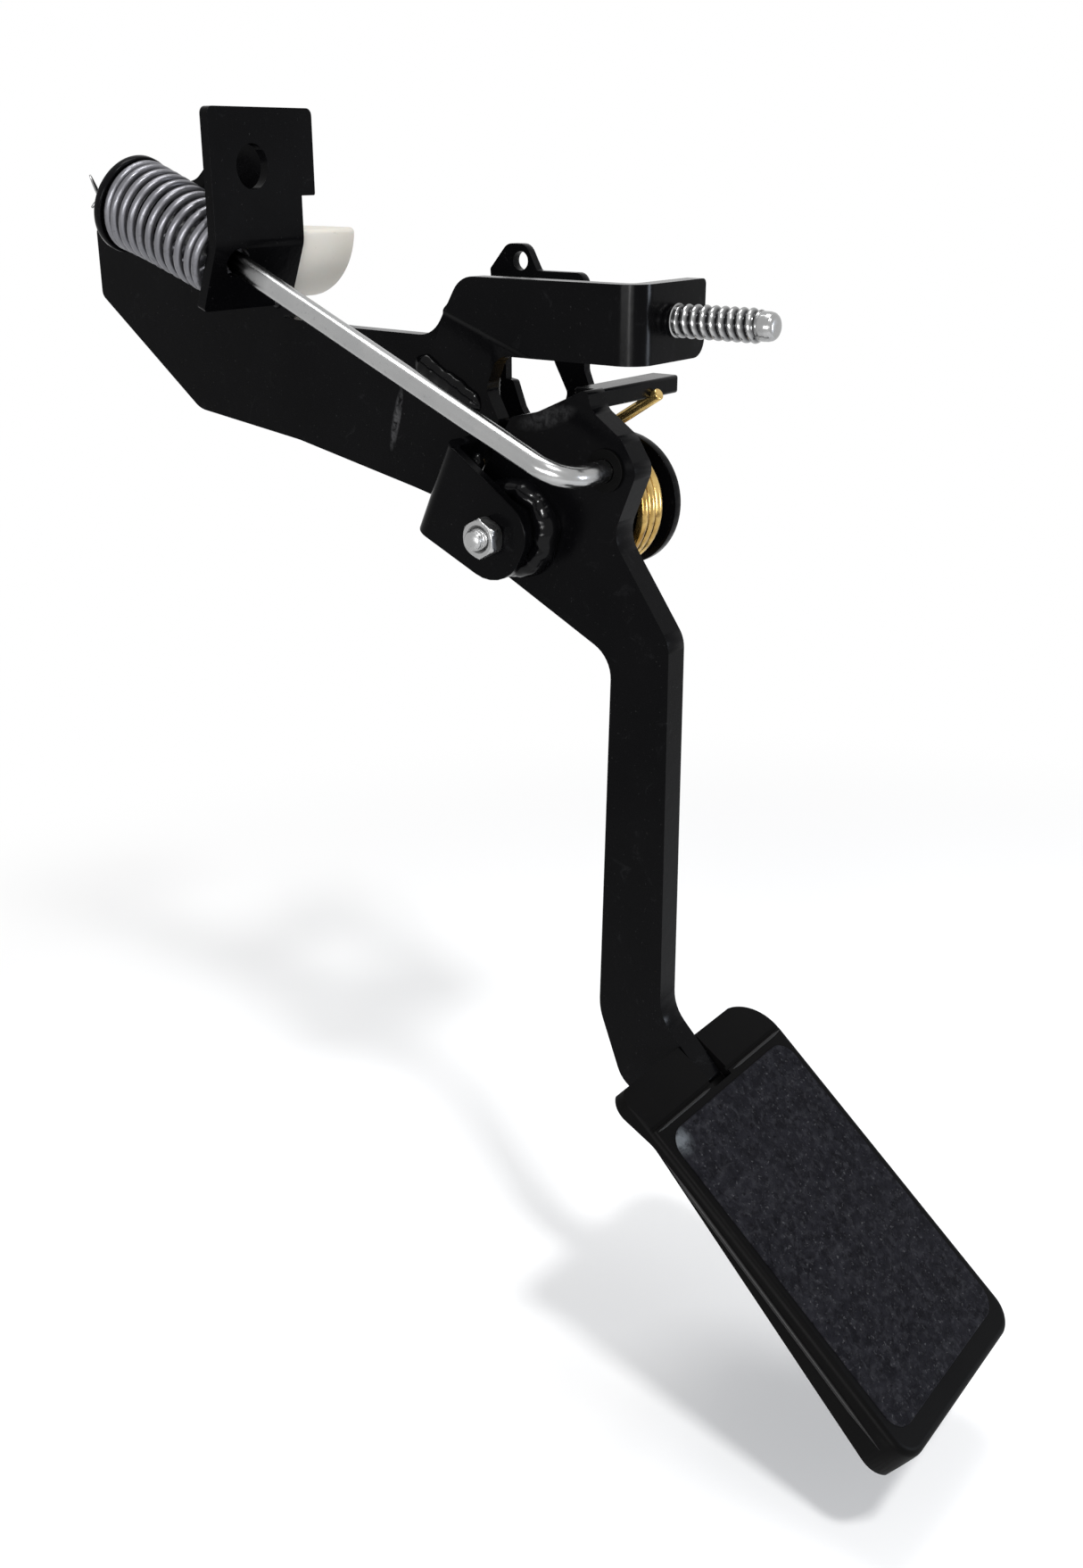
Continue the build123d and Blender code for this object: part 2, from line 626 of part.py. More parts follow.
rod_bush = rod_along_x(BUSH_HOLE_D, -half_lever, half_lever, HOOK_Y, HOOK_Z)
rod_bush = rod_bush + rod_along_x(
    ROD_BUSH_FLANGE_D, -half_lever - ROD_BUSH_FLANGE_T, -half_lever, HOOK_Y, HOOK_Z
)
rod_bush = rod_bush - rod_along_x(ROD_D + 2 * RUNNING_GAP, -LEVER_T, LEVER_T, HOOK_Y, HOOK_Z)
save(rod_bush, "rod_bush")

clip_x = half_lever + CLIP_GAP
rod_clip = rod_along_x(CLIP_D, clip_x, clip_x + CLIP_T, HOOK_Y, HOOK_Z)
rod_clip = rod_clip - rod_along_x(ROD_D, clip_x, clip_x + CLIP_T, HOOK_Y, HOOK_Z)
for quarter in range(4):
    slit = Pos(clip_x + CLIP_T / 2, HOOK_Y, HOOK_Z) * Rot(45 + 90 * quarter, 0, 0)
    rod_clip = rod_clip - slit * Pos(0, ROD_D / 2 + 1.0, 0) * Box(2 * CLIP_T, 3.0, 1.0)
save(rod_clip, "rod_clip")

# Compression spring between the upright and the end washer, with its washer and split pin.
spring_r = (COIL_D - COIL_WIRE) / 2
rise = COIL_LENGTH - COIL_WIRE - 2 * COIL_END_GAP
spring_base = rod_plane.offset(coil_seat + COIL_WIRE / 2 + COIL_END_GAP)
spring_path = spring_base * Helix(pitch=rise / COIL_TURNS, height=rise, radius=spring_r)
coil_start = Plane(origin=spring_path @ 0, z_dir=spring_path % 0)
coil_section = coil_start * RegularPolygon(COIL_WIRE / 2, WIRE_FLATS)
compression_spring = sweep(coil_section, spring_path, is_frenet=True)
save(compression_spring, "compression_spring")

end_washer = rod_plane.offset(washer_seat + WASHER_T / 2) * Cylinder(WASHER_D / 2, WASHER_T)
end_washer = chamfer(end_washer.edges().filter_by(GeomType.CIRCLE), WASHER_CHAMFER)
end_washer = end_washer - rod_plane.offset(washer_seat + WASHER_T / 2) * Cylinder(ROD_D / 2, 2 * WASHER_T)
save(end_washer, "end_washer")

pin_half = PIN_SPAN / 2
eye_at = pin_half + PIN_EYE_D / 2 - PIN_WIRE / 4
eye = Cylinder(PIN_EYE_D / 2, PIN_WIRE) - Cylinder(PIN_EYE_D / 2 - PIN_WIRE / 2, PIN_WIRE)
split_pin = pin_seat * Cylinder(PIN_WIRE / 2, PIN_SPAN)
split_pin = split_pin + pin_seat * Pos(0, 0, eye_at) * Rot(90, 0, 0) * eye
split_leg = pin_seat * Pos(0, 0, -pin_half) * Rot(-PIN_SPREAD, 0, 0) * Pos(0, 0, -PIN_LEG / 2)
split_leg = split_leg * Cylinder(PIN_WIRE / 4, PIN_LEG + PIN_WIRE / 2)
split_pin = split_pin + split_leg
save(split_pin, "split_pin")

# Half-round nylon block on the back of the web, held by one rivet.
half_disc = Circle(BLOCK_R) & Pos(0, -BLOCK_R) * Rectangle(4 * BLOCK_R, 2 * BLOCK_R)
block_face = Pos(BLOCK_Y, BLOCK_TOP) * fillet(half_disc.vertices(), BLOCK_EDGE_R)
nylon_block = extrude(Plane.YZ.offset(PLATE_BACK) * block_face, BLOCK_END_X - PLATE_BACK)
nylon_block = chamfer(nylon_block.faces().sort_by(Axis.X)[-1].edges(), BLOCK_EDGE_R * 0.4)
rivet_end = PLATE_BACK + RIVET_DEPTH
nylon_block = nylon_block - rod_along_x(RIVET_D, PLATE_BACK, rivet_end, BLOCK_Y, RIVET_Z)
save(nylon_block, "nylon_block")

block_rivet = rod_along_x(RIVET_D, PLATE_X, rivet_end, BLOCK_Y, RIVET_Z)
rivet_head = rod_along_x(RIVET_HEAD_D, PLATE_X - RIVET_HEAD_T, PLATE_X, BLOCK_Y, RIVET_Z)
rivet_head = chamfer(rivet_head.edges().sort_by(Axis.X)[0], RIVET_HEAD_CHAMFER)
save(block_rivet + rivet_head, "block_rivet")

# Pad: moulded cover, steel plate inside it and anti-slip insert on its face.
# Above the groove the cover's face slopes back towards its top edge.
tilt = radians(PAD_TILT)
pad_plane = Plane(origin=(0, PAD_Y, PAD_Z), x_dir=(1, 0, 0), z_dir=(0, -cos(tilt), sin(tilt)))
cover_face = outline(
    [
        (-PAD_HALF_W, PAD_TOP, PAD_NEAR_R),
        (-PAD_HALF_W, PAD_END, PAD_END_R),
        (PAD_HALF_W, PAD_END, PAD_END_R),
        (PAD_HALF_W, PAD_TOP, PAD_TOP_R),
    ]
)
flare = degrees(atan(PAD_FLARE / PAD_END_DEPTH))
cover = extrude(pad_plane * cover_face, -PAD_END_DEPTH, taper=-flare)
face_edges = cover.faces().sort_by(Axis(pad_plane.origin, pad_plane.z_dir))[-1].edges()
cover = fillet(face_edges, PAD_FACE_R)
wedge_plane = Plane(origin=pad_plane.origin, x_dir=pad_plane.y_dir, z_dir=(1, 0, 0))
wedge_side = outline(
    [
        (PAD_TOP, 0, 0),
        (PAD_END, 0, 0),
        (PAD_END, -PAD_END_DEPTH, 0),
        (0, -PAD_NECK_DEPTH, 12.0),
        (PAD_TOP - 6.0, -PAD_TOP_DEPTH, 5.0),
        (PAD_TOP, -PAD_TOP_DEPTH, 0),
    ]
)
wedge = extrude(wedge_plane.offset(-2 * PAD_HALF_W) * wedge_side, 4 * PAD_HALF_W)


def pad_outline(inset, corner):
    """Face outline of the pad, moved in from the cover's sides."""
    half = PAD_HALF_W - inset
    return outline(
        [
            (-half, PAD_TOP - inset, corner),
            (-half, PAD_END + inset, corner),
            (half, PAD_END + inset, corner),
            (half, PAD_TOP - inset, corner),
        ]
    )


def pad_layer(face, depth_from, depth_to):
    """Slab behind the pad's face between two depths."""
    return extrude(pad_plane.offset(-depth_to) * face, depth_to - depth_from)


plate_from = COVER_SKIN
plate_to = COVER_SKIN + PAD_PLATE_T
back_plate = pad_layer(pad_outline(PAD_PLATE_INSET, PAD_END_R), plate_from, plate_to)
rim_inset = PAD_PLATE_INSET - COVER_RIM
rim = pad_layer(pad_outline(rim_inset, PAD_END_R), 1.0, plate_to + COVER_LIP)
cover = (cover & wedge) + rim
notch_half = half_lever + NOTCH_CLEAR
notch_height = PAD_TOP - NOTCH_END
notch_face = Pos(0, NOTCH_END + notch_height) * Rectangle(2 * notch_half, 2 * notch_height)
notch = pad_layer(notch_face, -2 * PAD_END_DEPTH, 2 * PAD_END_DEPTH)
back_opening = pad_layer(pad_outline(PAD_PLATE_INSET + COVER_WRAP, 5.0), plate_to, 2 * PAD_END_DEPTH)
deep_pocket = pad_layer(pad_outline(rim_inset, PAD_END_R), plate_to + COVER_LIP, 2 * PAD_END_DEPTH)
insert_face = Pos(0, -INSERT_LENGTH / 2) * RectangleRounded(2 * INSERT_HALF_W, INSERT_LENGTH, INSERT_R)
insert_solid = pad_layer(insert_face, -INSERT_PROUD, INSERT_SUNK)
groove = pad_plane * Pos(0, GROOVE_Y, 0) * Box(4 * PAD_HALF_W, GROOVE_W, 2 * GROOVE_DEPTH)
flap_plane = pad_plane * Pos(0, GROOVE_Y, 0) * Rot(-FLAP_SLOPE, 0, 0)
above_flap = Box(4 * PAD_HALF_W, 2 * PAD_HALF_W, 2 * PAD_HALF_W)
above_flap = flap_plane * Pos(0, PAD_HALF_W, PAD_HALF_W) * above_flap
for cut in (back_plate, notch, back_opening, deep_pocket, insert_solid, groove, above_flap):
    cover = cover - cut
save(cover, "pad_cover")
save(back_plate - notch, "pad_plate")
top_edges = insert_solid.faces().sort_by(Axis(pad_plane.origin, pad_plane.z_dir))[-1].edges()
save(chamfer(top_edges, INSERT_PROUD * 0.6), "grip_insert")
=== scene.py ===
import bpy
import bmesh
from math import asin, atan2, cos, hypot, pi, radians, sin, tan
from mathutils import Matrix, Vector, noise


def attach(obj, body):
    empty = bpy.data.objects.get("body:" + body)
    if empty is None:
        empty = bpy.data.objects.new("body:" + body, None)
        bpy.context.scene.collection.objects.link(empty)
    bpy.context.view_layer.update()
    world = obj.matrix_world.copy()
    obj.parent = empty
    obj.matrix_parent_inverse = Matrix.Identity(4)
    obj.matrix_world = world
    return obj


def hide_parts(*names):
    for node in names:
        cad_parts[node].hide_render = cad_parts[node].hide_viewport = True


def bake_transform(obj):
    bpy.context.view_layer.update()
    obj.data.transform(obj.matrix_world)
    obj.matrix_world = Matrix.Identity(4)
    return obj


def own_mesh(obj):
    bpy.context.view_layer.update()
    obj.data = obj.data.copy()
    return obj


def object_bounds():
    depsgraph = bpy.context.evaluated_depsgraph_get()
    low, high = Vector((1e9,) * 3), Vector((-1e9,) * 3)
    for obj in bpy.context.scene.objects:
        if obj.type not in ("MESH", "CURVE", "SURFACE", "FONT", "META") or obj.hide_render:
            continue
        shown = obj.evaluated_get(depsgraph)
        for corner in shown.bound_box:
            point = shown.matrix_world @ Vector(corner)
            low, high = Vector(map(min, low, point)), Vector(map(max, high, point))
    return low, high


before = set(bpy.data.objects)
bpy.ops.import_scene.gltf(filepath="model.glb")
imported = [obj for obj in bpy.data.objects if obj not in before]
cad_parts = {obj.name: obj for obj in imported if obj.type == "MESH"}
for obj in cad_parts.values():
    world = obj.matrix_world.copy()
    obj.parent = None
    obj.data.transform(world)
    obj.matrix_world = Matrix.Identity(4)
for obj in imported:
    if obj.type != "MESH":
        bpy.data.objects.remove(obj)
cad_low, cad_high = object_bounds()

# The row frame starts at the stud's seat. Lengths below are in millimetres about the pivot,
# with X across the pedal. Materials, placed points, tube radii and lamps are in metres.
MM = 1000.0
SEAT = Vector((15.0, -39.0, 56.5))
ACROSS = Vector((1.0, 0.0, 0.0))


def at(x, y, z):
    """Point given about the pivot in millimetres, in the row frame in metres."""
    return (Vector((x, y, z)) - SEAT) / MM


def placed(points):
    return [at(*p) for p in points]


def on_yz(x, pairs):
    return [at(x, y, z) for y, z in pairs]


# ---------------------------------------------------------------- materials


class Nodes:
    """Short way to write a material's node tree."""

    def __init__(self, name):
        self.mat = bpy.data.materials.new(name)
        self.mat.use_nodes = True
        self.tree = self.mat.node_tree
        self.bsdf = self.tree.nodes["Principled BSDF"]
        self.coord = self.tree.nodes.new("ShaderNodeTexCoord").outputs["Object"]

    def node(self, kind, **inputs):
        n = self.tree.nodes.new(kind)
        for key, value in inputs.items():
            if key.startswith("_"):
                setattr(n, key[1:], value)
            else:
                self.put(n.inputs[key.replace("_", " ")], value)
        return n

    def put(self, socket, value):
        if isinstance(value, bpy.types.NodeSocket):
            self.tree.links.new(value, socket)
        else:
            socket.default_value = value

    def mapped(self, scale, tilt):
        n = self.node("ShaderNodeMapping", Vector=self.coord, _vector_type="TEXTURE")
        n.inputs["Rotation"].default_value = (radians(tilt), 0.0, 0.0)
        n.inputs["Scale"].default_value = [1.0 / v for v in scale]
        return n.outputs["Vector"]

    def noise(self, scale, detail=3.0, rough=0.55, vector=None, distortion=0.0):
        n = self.node(
            "ShaderNodeTexNoise",
            Scale=scale, Detail=detail, Roughness=rough, Distortion=distortion,
        )
        self.put(n.inputs["Vector"], vector or self.coord)
        return n.outputs["Fac"]

    def cells(self, scale):
        return self.node("ShaderNodeTexVoronoi", Scale=scale, Vector=self.coord)

    def span(self, value, low, high, to_low=0.0, to_high=1.0):
        n = self.node("ShaderNodeMapRange")
        self.put(n.inputs["Value"], value)
        ends = (("From Min", low), ("From Max", high), ("To Min", to_low), ("To Max", to_high))
        for key, v in ends:
            n.inputs[key].default_value = v
        return n.outputs["Result"]

    def mix(self, fac, a, b):
        n = self.node("ShaderNodeMix", _data_type="RGBA")
        self.put(n.inputs[0], fac)
        self.put(n.inputs[6], a if isinstance(a, bpy.types.NodeSocket) else (*a, 1.0))
        self.put(n.inputs[7], b if isinstance(b, bpy.types.NodeSocket) else (*b, 1.0))
        return n.outputs[2]

    def math(self, op, a, b=0.0):
        n = self.node("ShaderNodeMath", _operation=op)
        self.put(n.inputs[0], a)
        self.put(n.inputs[1], b)
        return n.outputs[0]

    def share(self, value, amount):
        return self.math("MULTIPLY", value, amount)

    def vector_math(self, op, a, b=(0.0, 0.0, 0.0)):
        n = self.node("ShaderNodeVectorMath", _operation=op)
        self.put(n.inputs[0], a)
        self.put(n.inputs[1], b)
        return n

    def away_from(self, point):
        return self.vector_math("DISTANCE", self.coord, point).outputs["Value"]

    def from_axis(self):
        """Distance from the stud's own axis, which is the frame's y axis."""
        flat = self.vector_math("MULTIPLY", self.coord, (1.0, 0.0, 1.0))
        return self.vector_math("LENGTH", flat.outputs["Vector"]).outputs["Value"]

    def patch(self, centre, along, half_length, half_width):
        """1 inside a soft oval round centre whose long axis runs along, 0 outside."""
        off = self.vector_math("SUBTRACT", self.coord, centre).outputs["Vector"]
        run = Vector(along).normalized()
        squares = []
        for way, half in ((run, half_length), (run.cross(ACROSS), half_width)):
            dot = self.vector_math("DOT_PRODUCT", off, way / (half / MM)).outputs["Value"]
            squares.append(self.math("POWER", self.math("ABSOLUTE", dot), 2.0))
        return self.span(self.math("ADD", squares[0], squares[1]), 1.0, 0.15)

    def bump(self, height, distance, strength=1.0, under=None):
        n = self.node("ShaderNodeBump", Strength=strength, Distance=distance, Height=height)
        if under is not None:
            self.put(n.inputs["Normal"], under)
        return n.outputs["Normal"]

    def set(self, **values):
        for key, value in values.items():
            socket = self.bsdf.inputs[key.replace("_", " ")]
            if isinstance(value, tuple) and len(value) == 3:
                value = (*value, 1.0)
            self.put(socket, value)
        return self.mat


def tinted(tone, shares):
    """Colour whose three numbers are shares of one tone."""
    return tuple(tone * s for s in shares)


def black_paint(name="black_gloss_paint", tone=1.0, gloss=0.0, scuffs_and_highlights=(), shine=0.04):
    """Thick glossy black paint with a slight skin, handling marks, dust, rubbed patches and
    painted highlight patches.
    """
    n = Nodes(name)
    cloud = n.noise(38.0, 4.0)
    fine = n.noise(900.0, 2.0)
    marks = n.span(n.noise(150.0, 7.0, 0.72, distortion=0.8), 0.60, 0.80)
    dust = n.span(n.noise(1300.0, 2.0), 0.70, 0.78)
    dark = tinted(tone, (0.0006, 0.0006, 0.0008))
    base = n.mix(cloud, dark, tinted(tone, (0.0022, 0.0022, 0.0025)))
    base = n.mix(n.share(marks, 0.5), base, (0.014, 0.014, 0.015))
    base = n.mix(n.share(dust, 0.22), base, (0.06, 0.06, 0.06))
    rough = n.span(cloud, 0.3, 0.7, 0.15 - gloss, 0.24 - gloss)
    rough = n.math("ADD", rough, n.share(marks, 0.12))
    # each patch is lighter and rougher in streaks: a rubbed scuff on the web, a painted highlight
    # on the lever and on the washer
    for centre, along, half_length, half_width, shade in scuffs_and_highlights:
        place = n.patch(centre, along, half_length, half_width)
        streak = n.span(n.noise(420.0, 6.0, 0.7, distortion=0.4), 0.36, 0.62)
        worn = n.share(place, streak)
        base = n.mix(worn, base, (shade, shade, shade * 1.04))
        rough = n.math("ADD", rough, n.share(worn, 0.2))
    skin = n.bump(n.noise(260.0, 2.0), 0.00012, 0.35)
    skin = n.bump(fine, 0.00003, 0.35, skin)
    return n.set(Base_Color=base, Roughness=rough, Normal=skin, Specular_IOR_Level=shine)


def bright_zinc(name, stretch, tone, rough, tilt=0.0, painted_groove_shade=None, painted_shade_near=None):
    """Bright plated steel with fine lines; its last two arguments give painted shade in a
    thread's grooves and painted shade on the rod near a point.
    """
    n = Nodes(name)
    lines = n.noise(1.0, 4.0, vector=n.mapped(stretch, tilt))
    cloud = n.noise(120.0, 4.0)
    spots = n.span(n.noise(700.0, 3.0, 0.6), 0.60, 0.74)
    base = n.mix(cloud, tinted(tone, (0.86, 0.87, 0.88)), tinted(tone, (1.08, 1.08, 1.07)))
    base = n.mix(n.share(spots, 0.35), base, tinted(tone, (0.45, 0.45, 0.46)))
    # painted shade: the rod turns dark towards the point where it comes through the upright's
    # hole
    if painted_shade_near:
        base = n.mix(n.span(n.away_from(painted_shade_near), 0.0070, 0.0190), (0.010, 0.010, 0.011), base)
    # painted shade: the thread's grooves turn dark towards the root, where shade falls
    if painted_groove_shade:
        split = n.node("ShaderNodeSeparateXYZ")
        n.put(split.inputs[0], n.coord)
        thread = n.span(split.outputs["Y"], -0.0248, -0.0238)
        groove_shaded = n.mix(n.span(n.from_axis(), *painted_groove_shade), (0.012, 0.012, 0.013), base)
        base = n.mix(thread, base, groove_shaded)
    dull = n.math("ADD", n.span(lines, 0.3, 0.7, *rough), n.share(spots, 0.12))
    return n.set(
        Base_Color=base, Metallic=1.0, Roughness=dull, Normal=n.bump(lines, 0.00004, 0.35)
    )


def spring_steel():
    """Pale dull spring wire with dark oil in its pits."""
    n = Nodes("pale_spring_steel")
    cloud = n.noise(150.0, 5.0)
    pits = n.span(n.noise(520.0, 5.0, 0.7), 0.55, 0.70)
    base = n.mix(cloud, (0.105, 0.105, 0.116), (0.20, 0.20, 0.216))
    base = n.mix(n.share(pits, 0.45), base, (0.05, 0.048, 0.048))
    rough = n.math("ADD", n.span(cloud, 0.3, 0.7, 0.30, 0.42), n.share(pits, 0.2))
    skin = n.bump(n.noise(800.0), 0.00004, 0.4)
    return n.set(Base_Color=base, Metallic=0.85, Roughness=rough, Normal=skin)


def yellow_zinc():
    """Yellow passivated wire that drifts between gold and brown."""
    n = Nodes("yellow_zinc")
    drift = n.noise(90.0, 3.0)
    base = n.mix(n.span(drift, 0.38, 0.62), (0.25, 0.140, 0.030), (0.60, 0.42, 0.150))
    dull = n.span(n.noise(420.0, 4.0), 0.55, 0.72)
    base = n.mix(n.share(dull, 0.6), base, (0.11, 0.062, 0.020))
    rough = n.span(drift, 0.3, 0.7, 0.14, 0.26)
    skin = n.bump(n.noise(700.0), 0.00004, 0.4)
    return n.set(Base_Color=base, Metallic=0.9, Roughness=rough, Normal=skin)


def nylon(name, low, high, shine, under):
    """Moulded plastic with a soft skin."""
    n = Nodes(name)
    cloud = n.noise(45.0, 4.0)
    specks = n.span(n.noise(900.0, 2.0), 0.66, 0.74)
    base = n.mix(cloud, low, high)
    speck = (low[0] * 0.6, low[1] * 0.6, low[2] * 0.55)
    base = n.mix(n.share(specks, 0.25), base, speck)
    return n.set(
        Base_Color=base, Roughness=n.span(cloud, 0.3, 0.7, 0.42, 0.55),
        Subsurface_Weight=under, Subsurface_Scale=0.002,
        Normal=n.bump(n.noise(500.0), 0.00004, 0.3), Specular_IOR_Level=shine,
    )


def moulded_black(name, shine):
    """Black moulded pad cover, satin with a fine grain."""
    n = Nodes(name)
    cloud = n.noise(30.0, 4.0)
    grain = n.noise(1500.0, 2.0)
    scuff = n.span(n.noise(210.0, 6.0, 0.75, distortion=1.0), 0.60, 0.76)
    base = n.mix(cloud, (0.0009, 0.0009, 0.0010), (0.0026, 0.0025, 0.0025))
    base = n.mix(n.share(scuff, 0.3), base, (0.011, 0.0107, 0.0107))
    skin = n.bump(grain, 0.00003, 0.4)
    skin = n.bump(n.noise(120.0, 3.0), 0.0002, 0.25, skin)
    rough = n.span(cloud, 0.3, 0.7, 0.36, 0.50)
    return n.set(Base_Color=base, Roughness=rough, Normal=skin, Specular_IOR_Level=shine)


def speckled_grip(worn_corner):
    """Dark grey gritty insert with soft mottling, pale flecks and a worn corner."""
    n = Nodes("speckled_grip")
    cloud = n.noise(48.0, 5.0, 0.6)
    mid = n.noise(230.0, 5.0, 0.68)
    blots = n.noise(420.0, 3.0, 0.6, distortion=0.5)
    flecks = n.cells(1500.0)
    pale = n.span(n.noise(900.0, 3.0, 0.6), 0.62, 0.74)
    dark = n.span(n.noise(560.0, 3.0, 0.6), 0.42, 0.30)
    base = n.mix(
        n.span(cloud, 0.32, 0.68), (0.0019, 0.0019, 0.0028), (0.0050, 0.0050, 0.0066)
    )
    base = n.mix(n.span(mid, 0.40, 0.72, 0.0, 0.7), base, (0.0145, 0.0145, 0.018))
    base = n.mix(n.span(blots, 0.48, 0.74, 0.0, 0.70), base, (0.023, 0.023, 0.0265))
    base = n.mix(n.share(pale, 0.5), base, (0.090, 0.090, 0.095))
    base = n.mix(n.share(dark, 0.85), base, (0.0014, 0.0014, 0.0020))
    near = n.span(n.away_from(worn_corner), 0.0054, 0.0016)
    worn = n.share(near, n.span(mid, 0.30, 0.55))
    base = n.mix(n.share(worn, 0.75), base, (0.11, 0.12, 0.13))
    grit = n.bump(flecks.outputs["Distance"], 0.00022, 0.5)
    grit = n.bump(mid, 0.0003, 0.3, grit)
    rough = n.span(mid, 0.3, 0.7, 0.55, 0.78)
    return n.set(Base_Color=base, Roughness=rough, Normal=grit, Specular_IOR_Level=0.03)


# scuffs and painted highlights are (centre, long axis, half length, half width, shade)
WEB_SCUFF = (at(-4.0, 44.5, 25.7), (0, 4.6, -17.4), 10.0, 1.6, 0.055)
# painted highlight: a pale streaked band along the lever's top stands in for the light it catches
LEVER_PAINTED_HIGHLIGHT = (at(-4.0, -9.1, 31.0), (0, -22.4, 6.8), 11.0, 3.2, 0.020)
# painted highlight: a pale patch on the washer stands in for the light its rim reflects
RIM_PAINTED_HIGHLIGHT = (at(-30.0, 131.0, 84.0), (0, 0.36, -0.93), 11.0, 3.6, 0.10)
ROD_ANGLE = 23.4

PAINT = black_paint()
PAINT_PLATE = black_paint("black_paint_plate", scuffs_and_highlights=[WEB_SCUFF])
# the lever's paint carries a painted highlight band along its top
PAINT_LEVER = black_paint("black_paint_lever", scuffs_and_highlights=[LEVER_PAINTED_HIGHLIGHT])
# the washer's paint: twice the usual tone, a little glossier, with a pale painted highlight patch
RIM_HIGHLIGHT_PAINT = black_paint("black_paint_rim_painted_highlight", 2.0, 0.02, [RIM_PAINTED_HIGHLIGHT])
PAINT_BEAD = black_paint("black_paint_on_weld", 1.2, 0.05, shine=0.11)
# the rod's zinc carries painted shade round the guide point, where it passes the upright
ZINC_ROD = bright_zinc(
    "bright_zinc_rod", (900.0, 40.0, 900.0), 0.36, (0.14, 0.26), ROD_ANGLE,
    painted_shade_near=at(-24.0, 88.6, 68.6),
)
# the stud's zinc carries painted shade in the thread's grooves
ZINC_STUD = bright_zinc(
    "bright_zinc_stud", (500.0, 500.0, 500.0), 0.34, (0.14, 0.26), painted_groove_shade=(0.00362, 0.0043)
)
ZINC_NUT = bright_zinc("bright_zinc_nut", (400.0, 400.0, 400.0), 0.36, (0.24, 0.36))
ZINC_PLAIN = bright_zinc("plain_zinc", (300.0, 300.0, 300.0), 0.26, (0.28, 0.42))
SPRING = spring_steel()
YELLOW = yellow_zinc()
NYLON = nylon("offwhite_nylon", (0.43, 0.405, 0.355), (0.54, 0.52, 0.47), 0.5, 0.12)
BLACK_NYLON = nylon(
    "black_nylon", (0.0006, 0.0006, 0.0006), (0.0020, 0.0020, 0.0020), 0.035, 0.0
)
MOULDED = moulded_black("moulded_black", 0.03)
MOULDED_RIDGE = moulded_black("moulded_black_rubbed", 0.20)
GRIP = speckled_grip(at(-30.2, -74.6, -158.2))

# ---------------------------------------------------------------- mesh helpers


def new_object(name, verts, faces, material, smooth=True):
    mesh = bpy.data.meshes.new(name)
    mesh.from_pydata([tuple(v) for v in verts], [], faces)
    mesh.validate()
    bm = bmesh.new()
    bm.from_mesh(mesh)
    bmesh.ops.recalc_face_normals(bm, faces=bm.faces)
    bm.to_mesh(mesh)
    bm.free()
    if smooth:
        mesh.polygons.foreach_set("use_smooth", [True] * len(mesh.polygons))
    mesh.materials.append(material)
    obj = bpy.data.objects.new(name, mesh)
    bpy.context.scene.collection.objects.link(obj)
    return obj


def stands_for(obj, body, slot, *nodes):
    """Puts a piece on its body, in place of the CAD nodes named, if any. The slot argument is not
    used.
    """
    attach(obj, body)
    if nodes:
        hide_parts(*nodes)
    return obj


def ring_faces(rows, ring, closed=False):
    """Quads between rows of ring points each, with flat ends unless the rows close up."""
    faces = []
    for i in range(rows if closed else rows - 1):
        here = i * ring
        there = (i + 1) % rows * ring
        for k in range(ring):
            after = (k + 1) % ring
            faces.append((here + k, here + after, there + after, there + k))
    if not closed:
        faces.append(tuple(range(ring)))
        faces.append(tuple(range((rows - 1) * ring, rows * ring)))
    return faces


def square_to(axis):
    """The axis as a unit vector and two unit vectors square to it."""
    axis = Vector(axis).normalized()
    u = axis.orthogonal().normalized()
    return axis, u, axis.cross(u)


def turned_corner(here, back, ahead, r, steps):
    """Points of radius r that turn the corner at here; back and ahead point along its sides."""
    half = back.angle(ahead) / 2
    middle = here + (back + ahead).normalized() * (r / sin(half))
    first = here + back * (r / tan(half)) - middle
    last = here + ahead * (r / tan(half)) - middle
    turn = first.angle(last)
    out = []
    for k in range(steps + 1):
        f = k / steps
        out.append(middle + (first * sin((1 - f) * turn) + last * sin(f * turn)) / sin(turn))
    return out


def frames_along(points):
    """Point, tangent and two side vectors at each point, turned as little as possible."""
    points = [Vector(p) for p in points]
    tangents = []
    for i in range(len(points)):
        before = points[max(i - 1, 0)]
        after = points[min(i + 1, len(points) - 1)]
        tangents.append((after - before).normalized())
    side = tangents[0].orthogonal().normalized()
    out = []
    for i, t in enumerate(tangents):
        if i:
            side = tangents[i - 1].rotation_difference(t) @ side
        side = (side - t * side.dot(t)).normalized()
        out.append((points[i], t, side, t.cross(side)))
    return out


CAP_STEPS = 5


def rounded_cap(row, r, amount, outward):
    """Rows that round the end of a tube off by amount."""
    p, t, u, v = row
    part = []
    for k in range(CAP_STEPS + 1):
        a = k / CAP_STEPS * pi / 2
        part.append((p + t * (outward * amount * sin(a)), u, v, r - amount * (1 - cos(a))))
    return part


def tube(name, points, radii, material, ring, start_round=0.0, end_round=0.0):
    """Round bar along points; radii is one number or a list with one for each point."""
    rows = frames_along(points)
    if not hasattr(radii, "__len__"):
        radii = [radii] * len(rows)
    profile = [(p, u, v, r) for (p, t, u, v), r in zip(rows, radii)]
    if end_round:
        profile[-1:] = rounded_cap(rows[-1], radii[-1], end_round, 1)
    if start_round:
        profile[:1] = reversed(rounded_cap(rows[0], radii[0], start_round, -1))
    verts = []
    for p, u, v, r in profile:
        for k in range(ring):
            a = 2 * pi * k / ring
            verts.append(p + u * (r * cos(a)) + v * (r * sin(a)))
    return new_object(name, verts, ring_faces(len(profile), ring), material)


